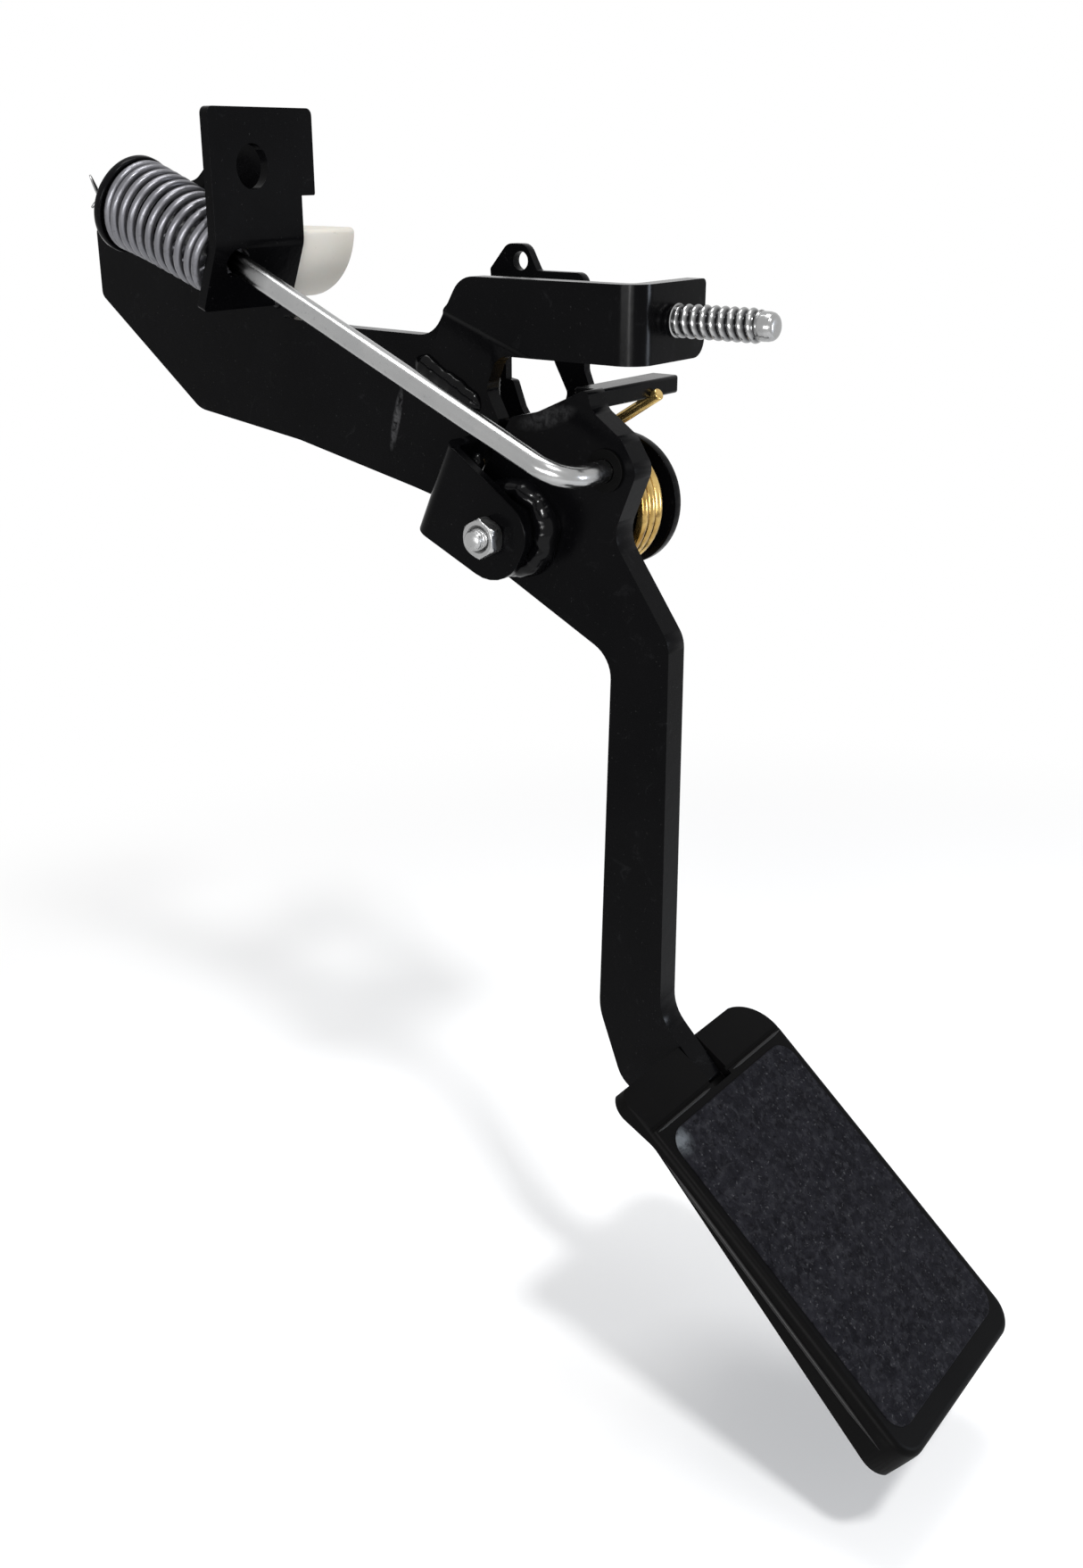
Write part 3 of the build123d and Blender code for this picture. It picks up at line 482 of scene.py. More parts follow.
def lathe(name, profile, origin, axis, material, steps=64, closed=False):
    """Turns (distance along axis, radius) pairs about an axis."""
    axis, u, v = square_to(axis)
    verts = []
    for s, r in profile:
        for k in range(steps):
            a = 2 * pi * k / steps
            verts.append(origin + (axis * s + (u * cos(a) + v * sin(a)) * r) / MM)
    return new_object(name, verts, ring_faces(len(profile), steps, closed), material)


def threaded_bar(name, origin, axis, spans, pitch, depth, material, around, per_turn):
    """Bar whose thread is a rounded wave; spans are (distance, radius, wave share) stations."""
    axis, u, v = square_to(axis)
    step = pitch / per_turn
    length = spans[-1][0]
    stations = {round(i * step, 4) for i in range(int(length / step) + 1)}
    stations = sorted(stations | {s[0] for s in spans})

    def value(d, index):
        for a, b in zip(spans, spans[1:]):
            if a[0] <= d <= b[0]:
                return a[index] + (b[index] - a[index]) * ((d - a[0]) / (b[0] - a[0]))
        return spans[-1][index]

    verts = []
    for d in stations:
        r = value(d, 1)
        w = value(d, 2)
        for k in range(around):
            a = 2 * pi * k / around
            phase = (d / pitch - a / (2 * pi)) % 1.0
            q = r - (1.0 - abs(sin(pi * phase)) ** 1.3) * depth * w
            verts.append(origin + (axis * d + (u * cos(a) + v * sin(a)) * q) / MM)
    return new_object(name, verts, ring_faces(len(stations), around), material)


def bevelled(obj, width, segments=3, angle=35.0, flatten=False):
    """Rounds an object's sharp edges by width and evens its shading."""
    weld = obj.modifiers.new("join", "WELD")
    weld.merge_threshold = 0.000004
    if flatten:
        flat = obj.modifiers.new("flatten", "DECIMATE")
        flat.decimate_type = "DISSOLVE"
        flat.angle_limit = radians(1.0)
    mod = obj.modifiers.new("round", "BEVEL")
    mod.width = width / MM
    mod.segments = segments
    mod.limit_method = "ANGLE"
    mod.angle_limit = radians(angle)
    mod.harden_normals = True
    mod.use_clamp_overlap = True
    return obj


HEXAGON_RING = 120


def hexagon_solid(name, flats, rows, origin, material, open_bore=False):
    """Hexagon along X with turned corners; rows are (distance, cone radius)."""
    u = Vector((0.0, 0.0, 1.0))
    v = ACROSS.cross(u)
    verts = []
    for d, cone in rows:
        for k in range(HEXAGON_RING):
            a = 2 * pi * k / HEXAGON_RING
            side = a % (pi / 3) - pi / 6
            r = min(cone, flats / 2 / cos(side))
            verts.append(origin + (ACROSS * d + (u * cos(a) + v * sin(a)) * r) / MM)
    faces = ring_faces(len(rows), HEXAGON_RING, open_bore)
    obj = new_object(name, verts, faces, material, smooth=False)
    return bevelled(obj, 0.12, 2, 25.0)


BEAD_RING = 22
BEAD_STEP = 0.00035


def bead(name, points, width, height, normal, seed, ripple, lumps):
    """Weld bead along points, wider than high, with ripples and lumps."""
    normal = Vector(normal).normalized()
    points = [Vector(p) for p in points]
    path = [(0.0, points[0])]
    for here, after in zip(points, points[1:]):
        path.append((path[-1][0] + (after - here).length, after))
    total = path[-1][0]
    count = max(int(total / BEAD_STEP), 12)

    def point_at(d):
        for i, (here, after) in enumerate(zip(path, path[1:])):
            if d <= after[0] or i == len(path) - 2:
                return here[1].lerp(after[1], (d - here[0]) / (after[0] - here[0]))

    centres = [point_at(total * i / count) for i in range(count + 1)]
    verts = []
    for i, c in enumerate(centres):
        way = (centres[min(i + 1, count)] - centres[max(i - 1, 0)]).normalized()
        side = way.cross(normal).normalized()
        d = total * i / count
        end = min(d, total - d)
        swell = min(1.0, (max(end, 0.00002) / (width / 2 / MM)) ** 0.5)
        coarse = noise.noise(Vector((d * 150.0, seed, 0.0)))
        fine = noise.noise(Vector((d * 340.0, seed, 3.0)))
        lump = 1.0 + lumps * coarse + 0.5 * lumps * fine
        wave = 0.5 - 0.5 * cos(2 * pi * d / (ripple / MM))
        w = width / 2 / MM * swell * lump
        h = height / MM * swell * (0.90 + 0.10 * wave) * lump
        for k in range(BEAD_RING):
            a = 2 * pi * k / BEAD_RING
            up = sin(a)
            verts.append(c + side * (w * cos(a)) + normal * (h * up if up > 0 else 0.25 * h * up))
    return new_object(name, verts, ring_faces(count + 1, BEAD_RING), PAINT_BEAD)


# ---------------------------------------------------------------- carried-over CAD nodes

# node: (material, width of its rounded edges)
DRESS = {
    "main_plate": (PAINT_PLATE, 0.0),
    "upright_bracket": (PAINT, 0.0),
    "pivot_strap": (PAINT, 0.0),
    "rear_bracket": (PAINT, 0.4),
    "block_rivet": (PAINT, 0.0),
    "pedal_lever": (PAINT_LEVER, 1.0),
    "pivot_boss": (PAINT, 0.3),
    "spring_tab": (PAINT, 0.3),
    "pad_plate": (PAINT, 0.3),
    "pad_cover": (MOULDED, 0.3),
    "grip_insert": (GRIP, 0.0),
    "nylon_block": (NYLON, 0.3),
    "front_bush": (NYLON, 0.2),
    "rear_bush": (NYLON, 0.2),
    "pivot_sleeve": (ZINC_PLAIN, 0.2),
    "spring_guide": (BLACK_NYLON, 0.3),
    "rod_bush": (BLACK_NYLON, 0.2),
    "rod_clip": (ZINC_PLAIN, 0.15),
    "pivot_bolt": (ZINC_NUT, 0.2),
    "pivot_nut": (ZINC_NUT, 0.15),
    "flange_stud": (ZINC_STUD, 0.2),
    "end_washer": (PAINT, 0.3),
    "pull_rod": (ZINC_ROD, 0.0),
    "split_pin": (ZINC_PLAIN, 0.0),
    "compression_spring": (SPRING, 0.0),
    "torsion_spring": (YELLOW, 0.0),
}
for node, (material, width) in DRESS.items():
    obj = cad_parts[node]
    if not obj.material_slots:
        obj.data.materials.append(material)
    for place in obj.material_slots:
        place.material = material
    if width:
        bevelled(obj, width, flatten=True)

# ---------------------------------------------------------------- folded sheets

CORNER_STEPS = 7
HALF_HOLE_STEPS = 28
CUT_MERGE = 0.00001


def outline_points(corners):
    """Points of a closed outline of (u, v, r) corners, each turned with its radius r."""
    out = []
    count = len(corners)
    for i, (u, v, r) in enumerate(corners):
        here = Vector((u, v))
        if r == 0:
            out.append(here)
            continue
        back = (Vector(corners[i - 1][:2]) - here).normalized()
        ahead = (Vector(corners[(i + 1) % count][:2]) - here).normalized()
        out += turned_corner(here, back, ahead, r, CORNER_STEPS)
    return out


def cut(bm, point, way):
    """Splits the flat sheet along the line through point that is square to way."""
    bmesh.ops.bisect_plane(
        bm, geom=bm.verts[:] + bm.edges[:] + bm.faces[:],
        plane_co=(*point, 0.0), plane_no=(*way, 0.0), dist=CUT_MERGE,
    )


def add_hole(bm, u, v, r):
    """Cuts the flat face along u and lets a round hole into the cut."""
    cut(bm, (u, v), (1.0, 0.0))
    for edge in bm.edges:
        low, high = sorted(edge.verts, key=lambda q: q.co.y)
        on_cut = max(abs(low.co.x - u), abs(high.co.x - u)) < 0.0001
        if on_cut and low.co.y < v < high.co.y:
            break
    bottom = bm.verts.new((u, v - r, 0.0))
    top = bm.verts.new((u, v + r, 0.0))
    for face in list(edge.link_faces):
        ring = list(face.verts)
        side = 1.0 if sum(q.co.x - u for q in ring) > 0 else -1.0
        arc = [bottom]
        for k in range(1, HALF_HOLE_STEPS):
            a = pi * k / HALF_HOLE_STEPS
            arc.append(bm.verts.new((u + side * r * sin(a), v - r * cos(a), 0.0)))
        arc.append(top)
        place = ring.index(low)
        if ring[(place + 1) % len(ring)] is high:
            ring[place + 1:place + 1] = arc
        else:
            ring[place:place] = list(reversed(arc))
        bm.faces.new(ring)
    bmesh.ops.delete(bm, geom=[edge], context="EDGES")


def folded_sheet(name, corners, thickness, fold, cuts, material, raised=None, holes=()):
    """Sheet drawn flat, cut along lines and folded.

    fold gives each point's place and outward way, raised how far it stands out of the face.
    """
    bm = bmesh.new()
    bm.faces.new([bm.verts.new((p.x, p.y, 0.0)) for p in outline_points(corners)])
    for hole in holes:
        add_hole(bm, *hole)
    for point, way in cuts:
        cut(bm, point, way)
    bm.verts.index_update()
    count = len(bm.verts)
    outer = []
    inner = []
    for vert in bm.verts:
        place, out = fold(vert.co.x, vert.co.y)
        lift = raised(vert.co.x, vert.co.y) if raised else 0.0
        outer.append(at(*(place + out * lift)))
        inner.append(at(*(place - out * thickness)))
    faces = []
    for face in bm.faces:
        ring = [v.index for v in face.verts]
        faces.append(tuple(ring))
        faces.append(tuple(count + i for i in reversed(ring)))
    for edge in bm.edges:
        if len(edge.link_faces) == 1:
            a, b = [v.index for v in edge.verts]
            faces.append((a, b, count + b, count + a))
    bm.free()
    return new_object(name, outer + inner, faces, material)


# Main plate: u runs along Y and round the bend into the flange, v is Z.
PLATE_X = -4.0
PLATE_T = 5.0
ARM_TOP = 66.4
ARM_LOW = 46.1
FOLD_Y = -31.2
FOLD_R = 7.0
FOLD_X = PLATE_X + FOLD_R
FOLD_ARC = FOLD_R * pi / 2
FLANGE_END = FOLD_Y - FOLD_ARC - 25.6


def plate_fold(u, v):
    """The arm's end turns through a right angle into the flange."""
    if u >= FOLD_Y:
        return Vector((PLATE_X, u, v)), Vector((-1.0, 0.0, 0.0))
    if u > FOLD_Y - FOLD_ARC:
        a = (FOLD_Y - u) / FOLD_R
        place = Vector((FOLD_X - FOLD_R * cos(a), FOLD_Y - FOLD_R * sin(a), v))
        return place, Vector((-cos(a), -sin(a), 0.0))
    place = Vector((FOLD_X + FOLD_Y - FOLD_ARC - u, FOLD_Y - FOLD_R, v))
    return place, Vector((0.0, -1.0, 0.0))


CREASE_FROM = Vector((26.0, 57.7))
CREASE_WAY = Vector((-4.1, 47.0)) - CREASE_FROM
CREASE_RUN = CREASE_WAY.length
CREASE_WAY.normalize()
CREASE_SIDE = Vector((-CREASE_WAY.y, CREASE_WAY.x))
CREASE_HALF = 1.9
CREASE_HEIGHT = 0.75


def crease(u, v):
    """Low soft press line that fades towards its lower end."""
    off = Vector((u, v)) - CREASE_FROM
    across = off.dot(CREASE_SIDE) / CREASE_HALF
    along = off.dot(CREASE_WAY) / CREASE_RUN
    if abs(across) >= 1.0 or u < FOLD_Y:
        return 0.0
    fade = max(0.0, min(1.0, (1.15 - along) / 0.5)) * max(0.0, min(1.0, (along + 0.6) / 0.3))
    return CREASE_HEIGHT * cos(across * pi / 2) ** 2 * fade


plate_cuts = [((FOLD_Y - FOLD_ARC * k / 14.0, 0.0), (1.0, 0.0)) for k in range(15)]
plate_cuts += [
    (CREASE_FROM + CREASE_SIDE * CREASE_HALF * k / 5.0, CREASE_SIDE) for k in range(-5, 6)
]
plate_cuts += [
    (CREASE_FROM + CREASE_WAY * CREASE_RUN * k / 5.0, CREASE_WAY) for k in range(-3, 7)
]
plate_corners = [
    (FLANGE_END, ARM_TOP, 1.5), (20.0, ARM_TOP, 8.0), (29.9, 50.0, 9.0), (64.5, 50.4, 10.0),
    (87.9, 51.7, 1.5), (89.3, 55.0, 0), (92.42, 56.26, 0), (85.7, 73.76, 6.0), (85.7, 102.0, 0),
    (107.0, 102.0, 5.0), (121.5, 90.0, 7.0), (146.0, 85.0, 12.0), (170.2, 74.6, 2.0),
    (170.2, 54.2, 3.0), (127.5, 21.6, 9.0), (84.0, 16.0, 20.0), (38.0, 6.8, 12.0),
    (21.2, 3.0, 3.0), (12.5, 18.4, 5.0), (6.9, 28.6, 1.5), (11.4, 36.8, 5.0),
    (7.4, ARM_LOW, 5.0), (FLANGE_END, ARM_LOW, 5.0),
]
side_sheet = folded_sheet(
    "side_plate", plate_corners, PLATE_T, plate_fold, plate_cuts, PAINT_PLATE, crease
)
bevelled(side_sheet, 0.5)
stands_for(side_sheet, "bracket", "black_paint", "main_plate")

# Pivot strap: u runs from the pivot along the ear, v is square to it.
STRAP_LEAN = radians(24.1)
STRAP_U = Vector((0.0, cos(STRAP_LEAN), sin(STRAP_LEAN)))
STRAP_V = Vector((0.0, -STRAP_U.z, STRAP_U.y))
STRAP_T = 3.2
STRAP_TOP = 15.5
STRAP_LOW = -12.3
EAR_X = -18.0
EAR_TIP = -11.8
EAR_END = 19.5
EAR_R = 5.0
EAR_ARC = EAR_R * pi / 2
WALL_FROM = EAR_END + EAR_ARC
WALL_END = WALL_FROM + 9.0


def strap_fold(u, v):
    """The ear turns into the short wall that runs to the plate."""
    if u <= EAR_END:
        return Vector((EAR_X, 0.0, 0.0)) + STRAP_U * u + STRAP_V * v, Vector((-1.0, 0.0, 0.0))
    if u < WALL_FROM:
        a = (u - EAR_END) / EAR_R
        place = Vector((EAR_X + EAR_R - EAR_R * cos(a), 0.0, 0.0))
        place = place + STRAP_U * (EAR_END + EAR_R * sin(a)) + STRAP_V * v
        return place, Vector((-cos(a), 0.0, 0.0)) + STRAP_U * sin(a)
    place = Vector((EAR_X + EAR_R + u - EAR_END - EAR_ARC, 0.0, 0.0))
    return place + STRAP_U * (EAR_END + EAR_R) + STRAP_V * v, STRAP_U


strap_corners = [
    (WALL_END, STRAP_TOP, 0), (EAR_END, STRAP_TOP, 3.0), (EAR_TIP, 10.0, 9.4),
    (EAR_TIP, STRAP_LOW, 11.6), (WALL_END, STRAP_LOW, 0),
]
strap_cuts = [((EAR_END + EAR_ARC * k / 12.0, 0.0), (1.0, 0.0)) for k in range(13)]
strap_sheet = folded_sheet("strap_sheet", strap_corners, STRAP_T, strap_fold, strap_cuts, PAINT)
bevelled(strap_sheet, 0.45)
stands_for(strap_sheet, "bracket", "black_paint", "pivot_strap")

# ---------------------------------------------------------------- stud with its rounded thread

STUD_FROM = at(15.0, -38.2, 56.5)
STUD_WAY = (0, -1, 0)
STUD_R = 4.45
STUD_PITCH = 2.75
STUD_THREAD_DEPTH = 0.95

# (distance, radius, thread share): neck, thread and the plain rounded point
stud_spans = [
    (0.0, 3.9, 0.0), (0.5, 3.9, 0.0), (1.4, STUD_R, 1.0), (23.6, STUD_R, 1.0),
    (24.6, 4.15, 0.4), (25.2, 3.75, 0.0), (25.8, 3.8, 0.0), (27.4, 3.75, 0.0),
    (28.4, 3.5, 0.0), (29.0, 3.05, 0.0), (29.35, 2.5, 0.0), (29.5, 1.2, 0.0),
]
stud = threaded_bar(
    "stud_thread", STUD_FROM, STUD_WAY, stud_spans, STUD_PITCH, STUD_THREAD_DEPTH, ZINC_STUD,
    around=48, per_turn=16,
)
head_profile = [
    (-7.4, 6.3), (-7.3, 6.8), (-6.9, 7.0), (-5.5, 7.0), (-5.1, 6.9), (-5.0, 6.6), (-5.0, 4.4),
    (0.1, 4.4),
]
stud_head = lathe("stud_head", head_profile, STUD_FROM, STUD_WAY, ZINC_STUD)
stud_head.parent = stud
stands_for(stud, "bracket", "zinc", "flange_stud")

# ---------------------------------------------------------------- rod and upright

LEAN = radians(21.0)
UPRIGHT_Y = 82.7
UPRIGHT_T = 3.0
CORNER_Z = 73.2
FOOT_RUN = 19.3
foot_front = (UPRIGHT_Y + FOOT_RUN * sin(LEAN), CORNER_Z - FOOT_RUN * cos(LEAN))
foot_back = (foot_front[0] + UPRIGHT_T * cos(LEAN), foot_front[1] + UPRIGHT_T * sin(LEAN))
foot_normal = Vector((0.0, cos(LEAN), sin(LEAN)))

ROD_X = -24.0
ROD_R = 3.0
ROD_TIP_X = 9.5
ROD_BEND_R = 9.0
ROD_SET_ANGLE = 19.4
ROD_SET_R = 40.0
ROD_OVERHANG = 9.0
ROUTE_STEPS = 16
WASHER_SEAT = 40.45
WASHER_T = 2.5
hook = Vector((ROD_X, -28.9, 19.0))
rod_run = Vector((0.0, cos(radians(ROD_ANGLE)), sin(radians(ROD_ANGLE))))
rod_set = Vector((0.0, cos(radians(ROD_SET_ANGLE)), sin(radians(ROD_SET_ANGLE))))
reach = (Vector((ROD_X, *foot_back)) - hook).dot(foot_normal) / rod_run.dot(foot_normal)
guide = hook + rod_run * reach
UP_ROD = rod_set.cross(ACROSS) * -1.0


def rounded(points, radii):
    """Route whose inner corners are turned with the given radii."""
    points = [Vector(p) for p in points]
    out = [points[0]]
    for i, r in enumerate(radii, 1):
        back = (points[i - 1] - points[i]).normalized()
        ahead = (points[i + 1] - points[i]).normalized()
        out += turned_corner(points[i], back, ahead, r, ROUTE_STEPS)
    out.append(points[-1])
    return out


rod_end = guide + rod_set * (WASHER_SEAT + WASHER_T + ROD_OVERHANG)
rod_corners = [(ROD_TIP_X, hook.y, hook.z), hook, guide, rod_end]
rod_route = rounded(rod_corners, [ROD_BEND_R, ROD_SET_R])
rod = tube(
    "rod", placed(rod_route), ROD_R / MM, ZINC_ROD, 32, start_round=0.0009, end_round=0.0009
)
stands_for(rod, "rod", "zinc", "pull_rod")

# Upright: u is X, v is Z and runs on down the foot, which leans away below the fold.
BEND_R = 9.0
BEND_Y = UPRIGHT_Y + BEND_R
BEND_TOP = CORNER_Z + BEND_R * tan(LEAN / 2)
BEND_LOW = BEND_TOP - BEND_R * LEAN
UPRIGHT_LEFT = -33.7
UPRIGHT_TOP = 109.3
STRIP_RIGHT = 1.0
HEAD_RIGHT = 6.5
HEAD_LOW = 85.8
MOUNT_HOLE = (-18.0, 93.8, 6.1)
GUIDE_HOLE_R = 4.3
FOOT_WAY = Vector((0.0, sin(LEAN), -cos(LEAN)))
foot_from = Vector((0.0, BEND_Y - BEND_R * cos(LEAN), BEND_TOP - BEND_R * sin(LEAN)))


def upright_fold(u, v):
    """The strip is upright above the fold and square to the rod below it."""
    if v >= BEND_TOP:
        return Vector((u, UPRIGHT_Y, v)), Vector((0.0, -1.0, 0.0))
    if v > BEND_LOW:
        a = (BEND_TOP - v) / BEND_R
        place = Vector((u, BEND_Y - BEND_R * cos(a), BEND_TOP - BEND_R * sin(a)))
        return place, Vector((0.0, -cos(a), -sin(a)))
    return foot_from + FOOT_WAY * (BEND_LOW - v) + ACROSS * u, foot_normal * -1.0


foot_low = BEND_LOW - (FOOT_RUN - BEND_R * tan(LEAN / 2))
guide_v = BEND_LOW - (guide - foot_normal * UPRIGHT_T - foot_from).dot(FOOT_WAY)
upright_corners = [
    (UPRIGHT_LEFT, foot_low, 1.2), (STRIP_RIGHT, foot_low, 0), (STRIP_RIGHT, HEAD_LOW, 0),
    (HEAD_RIGHT, HEAD_LOW, 0.6), (HEAD_RIGHT, UPRIGHT_TOP, 2.0), (UPRIGHT_LEFT, UPRIGHT_TOP, 2.0),
]
upright_cuts = [
    ((0.0, BEND_LOW + (BEND_TOP - BEND_LOW) * k / 8.0), (0.0, 1.0)) for k in range(9)
]
upright_sheet = folded_sheet(
    "upright_sheet", upright_corners, UPRIGHT_T, upright_fold, upright_cuts, PAINT,
    holes=[MOUNT_HOLE, (ROD_X, guide_v, GUIDE_HOLE_R)],
)
bevelled(upright_sheet, 0.5)
stands_for(upright_sheet, "bracket", "black_paint", "upright_bracket")

# ---------------------------------------------------------------- compression spring

TURNS = 10.6
TURN_STEPS = 44
WIRE_R = 1.2
COIL_START_R = 11.1
COIL_SWELL = 1.2
COIL_PHASE = 0.6
CLOSED_PITCH = 2.5
CLOSED_TURNS = 0.9
EASE_TURNS = 0.5


def spring_pitch(t):
    """Closed end turns, and between them a pitch that tightens towards the washer."""
    if t < CLOSED_TURNS or t > TURNS - CLOSED_TURNS:
        return CLOSED_PITCH
    inside = min(t - CLOSED_TURNS, TURNS - CLOSED_TURNS - t)
    return CLOSED_PITCH + min(1.0, inside / EASE_TURNS) * (1.75 - 0.9 * t / TURNS)


steps = int(TURNS * TURN_STEPS)
heights = [0.0]
for i in range(steps):
    heights.append(heights[-1] + spring_pitch(TURNS * (i + 0.5) / steps) * TURNS / steps)

# the coil's middle line leaves the foot squarely and bows a little to the washer
axis_from = guide + foot_normal * (WIRE_R + 0.15)
axis_to = guide + rod_set * (WASHER_SEAT - WIRE_R - 0.05) + UP_ROD * 0.5
handle = (axis_to - axis_from).length / 3.0
first_handle = axis_from + foot_normal * handle
flatter = Vector((0.0, cos(radians(16.5)), sin(radians(16.5))))
last_handle = axis_to - flatter * handle


def on_axis(f):
    """Point and direction at share f of the coil's middle line."""
    g = 1.0 - f
    p = axis_from * g ** 3 + first_handle * 3 * g * g * f
    p = p + last_handle * 3 * g * f * f + axis_to * f ** 3
    t = (first_handle - axis_from) * g * g + (last_handle - first_handle) * 2 * g * f
    return p, (t + (axis_to - last_handle) * f * f).normalized()


spring_points = []
for i, h in enumerate(heights):
    f = h / heights[-1]
    middle, along = on_axis(f)
    lift = along.cross(ACROSS) * -1.0
    turn = 2 * pi * TURNS * i / steps + COIL_PHASE
    r = COIL_START_R + COIL_SWELL * f
    spring_points.append(middle + (ACROSS * cos(turn) + lift * sin(turn)) * r)
spring = tube(
    "rod_spring", placed(spring_points), WIRE_R / MM, SPRING, 14,
    start_round=0.0004, end_round=0.0004,
)
stands_for(spring, "bracket", "spring_steel", "compression_spring")
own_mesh(spring)

# ---------------------------------------------------------------- washer and split pin

# a shallow seat takes the spring's last turn
washer_profile = [
    (0.9, 3.02), (0.9, 12.9), (0.25, 13.2), (0.0, 13.5), (0.05, 13.95), (0.5, 14.2),
    (2.0, 14.2), (2.35, 14.05), (WASHER_T, 13.6), (WASHER_T, 3.3), (2.35, 3.02),
]
washer = lathe(
    "cupped_washer", washer_profile, at(*(guide + rod_set * WASHER_SEAT)), rod_set, RIM_HIGHLIGHT_PAINT,
    steps=96, closed=True,
)
stands_for(washer, "rod", "black_paint", "end_washer")

# split pin: one wire looped back on itself at its eye, with its two ends spread
EYE_R = 2.3
EYE_FROM_X = 8.5
LEG_X = 7.6
LEG_SIDE = 0.48
pin_at = guide + rod_set * (WASHER_SEAT + WASHER_T + 4.0)


def pin_points(*pairs):
    """Points given by their place across the rod and their height above its middle."""
    return [pin_at + ACROSS * x + UP_ROD * side for x, side in pairs]


eye_turns = [pi * 2 * (k + 1.6) / 19.2 for k in reversed(range(17))]
pin_route = pin_points((-13.2, 6.8), (-11.9, 4.9), (-10.4, 2.8), (-9.2, 1.2), (-8.0, 0.55))
pin_route += pin_points((0.0, LEG_SIDE), (LEG_X, LEG_SIDE))
pin_route += pin_points(
    *[(EYE_FROM_X + EYE_R - EYE_R * cos(a), 2.0 * sin(a)) for a in eye_turns]
)
pin_route += pin_points((LEG_X, -LEG_SIDE), (0.0, -LEG_SIDE))
pin_route += pin_points((-7.9, -0.5), (-9.0, -0.7), (-10.2, -1.4), (-11.2, -2.6))
pin_radii = [0.00032, 0.00050, 0.00060] + [0.00062] * (len(pin_route) - 6)
pin_radii += [0.0006, 0.0005, 0.00034]
pin = tube("split_pin_wire", placed(pin_route), pin_radii, ZINC_PLAIN, 12)
stands_for(pin, "rod", "zinc", "split_pin")

# ---------------------------------------------------------------- torsion spring

LEG = radians(28.0)
WIRE = 3.4
COIL_R = 17.2
PITCH = 3.7
FIRST_X = 30.3
COIL_STEPS = 150
WALL_Y = 48.0
LEG_END_Y = -25.0
leg_at = Vector((0.0, COIL_R * sin(LEG), COIL_R * cos(LEG)))
rest_z = 12.0 - WIRE / 2 - 0.3
rest_turn = atan2(rest_z, WALL_Y) - asin(COIL_R / hypot(WALL_Y, rest_z))
sweep = 2 * pi * 3 - LEG - rest_turn
coil_points = []
for i in range(COIL_STEPS + 1):
    a = sweep * i / COIL_STEPS
    g = pi / 2 - LEG - a
    coil_points.append(
        Vector((FIRST_X + PITCH * a / (2 * pi), COIL_R * cos(g), COIL_R * sin(g)))
    )
first_way = (coil_points[1] - coil_points[0]).normalized()
last_way = (coil_points[-1] - coil_points[-2]).normalized()
leg_run = (leg_at.y - LEG_END_Y) / cos(LEG)
rest_run = (WALL_Y + 3.0 + COIL_R * sin(rest_turn)) / cos(rest_turn) + 4.0
whole = [coil_points[0] - first_way * leg_run, coil_points[0] - first_way * 2.0]
whole += coil_points
whole += [coil_points[-1] + last_way * 2.0, coil_points[-1] + last_way * rest_run]
torsion = tube(
    "torsion_wire", placed(whole), WIRE / 2 / MM, YELLOW, 20, start_round=0.0004, end_round=0.0004
)
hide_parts("torsion_spring")
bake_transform(torsion)

# ---------------------------------------------------------------- pivot nut and bolt

FLATS = 10.0
BOLT_R = 3.0
BOLT_PITCH = 1.0
BOLT_THREAD_DEPTH = 0.45

nut_rows = [
    (0.55, 3.05), (0.25, 3.5), (0.0, 3.9), (0.0, 4.9), (0.35, 5.25), (0.75, 5.6), (1.0, 6.2),
    (4.0, 6.2), (4.3, 5.6), (4.7, 5.25), (5.0, 4.9), (5.0, 3.05),
]
nut = hexagon_solid("nut_body", FLATS, nut_rows, at(-23.0, 0, 0), ZINC_NUT, open_bore=True)
stands_for(nut, "bracket", "zinc", "pivot_nut")

# (distance, radius, thread share): domed end, thread and plain shank
bolt_spans = [
    (0.0, 0.4, 0.0), (0.06, 1.1, 0.0), (0.22, 1.8, 0.0), (0.5, 2.35, 0.0), (0.9, 2.7, 0.0),
    (1.5, 2.98, 0.6), (2.2, BOLT_R, 1.0), (9.0, BOLT_R, 1.0), (10.0, BOLT_R, 0.0),
    (75.0, BOLT_R, 0.0),
]
bolt = threaded_bar(
    "bolt_thread", at(-26.0, 0, 0), ACROSS, bolt_spans, BOLT_PITCH, BOLT_THREAD_DEPTH, ZINC_NUT,
    around=40, per_turn=12,
)
bolt_head_rows = [
    (0.0, 4.8), (0.3, 4.9), (0.3, 6.2), (3.2, 6.2), (3.5, 5.6), (3.8, 5.1), (4.0, 4.7)
]
bolt_head = hexagon_solid("bolt_head", FLATS, bolt_head_rows, at(49.0, 0, 0), ZINC_NUT)
bolt_head.parent = bolt
stands_for(bolt, "bracket", "zinc", "pivot_bolt")

# ---------------------------------------------------------------- weld beads

WEB_X = -3.9
BOSS_STEPS = 60
BOSS_LUMPS = 0.24
LUMPS = 0.18


def ring_of(x, radius, start, end):
    """Arc round the pivot from start to end degrees."""
    pairs = []
    for k in range(BOSS_STEPS + 1):
        a = radians(start + (end - start) * k / BOSS_STEPS)
        pairs.append((radius * cos(a), radius * sin(a)))
    return on_yz(x, pairs)


def strap_foot(x, places, inside=0.0):
    """Line where the strap's wall meets the plate, through the given places along the wall."""
    line = [STRAP_U * (EAR_END + EAR_R - inside) + STRAP_V * v for v in places]
    return on_yz(x, [(p.y, p.z) for p in line])


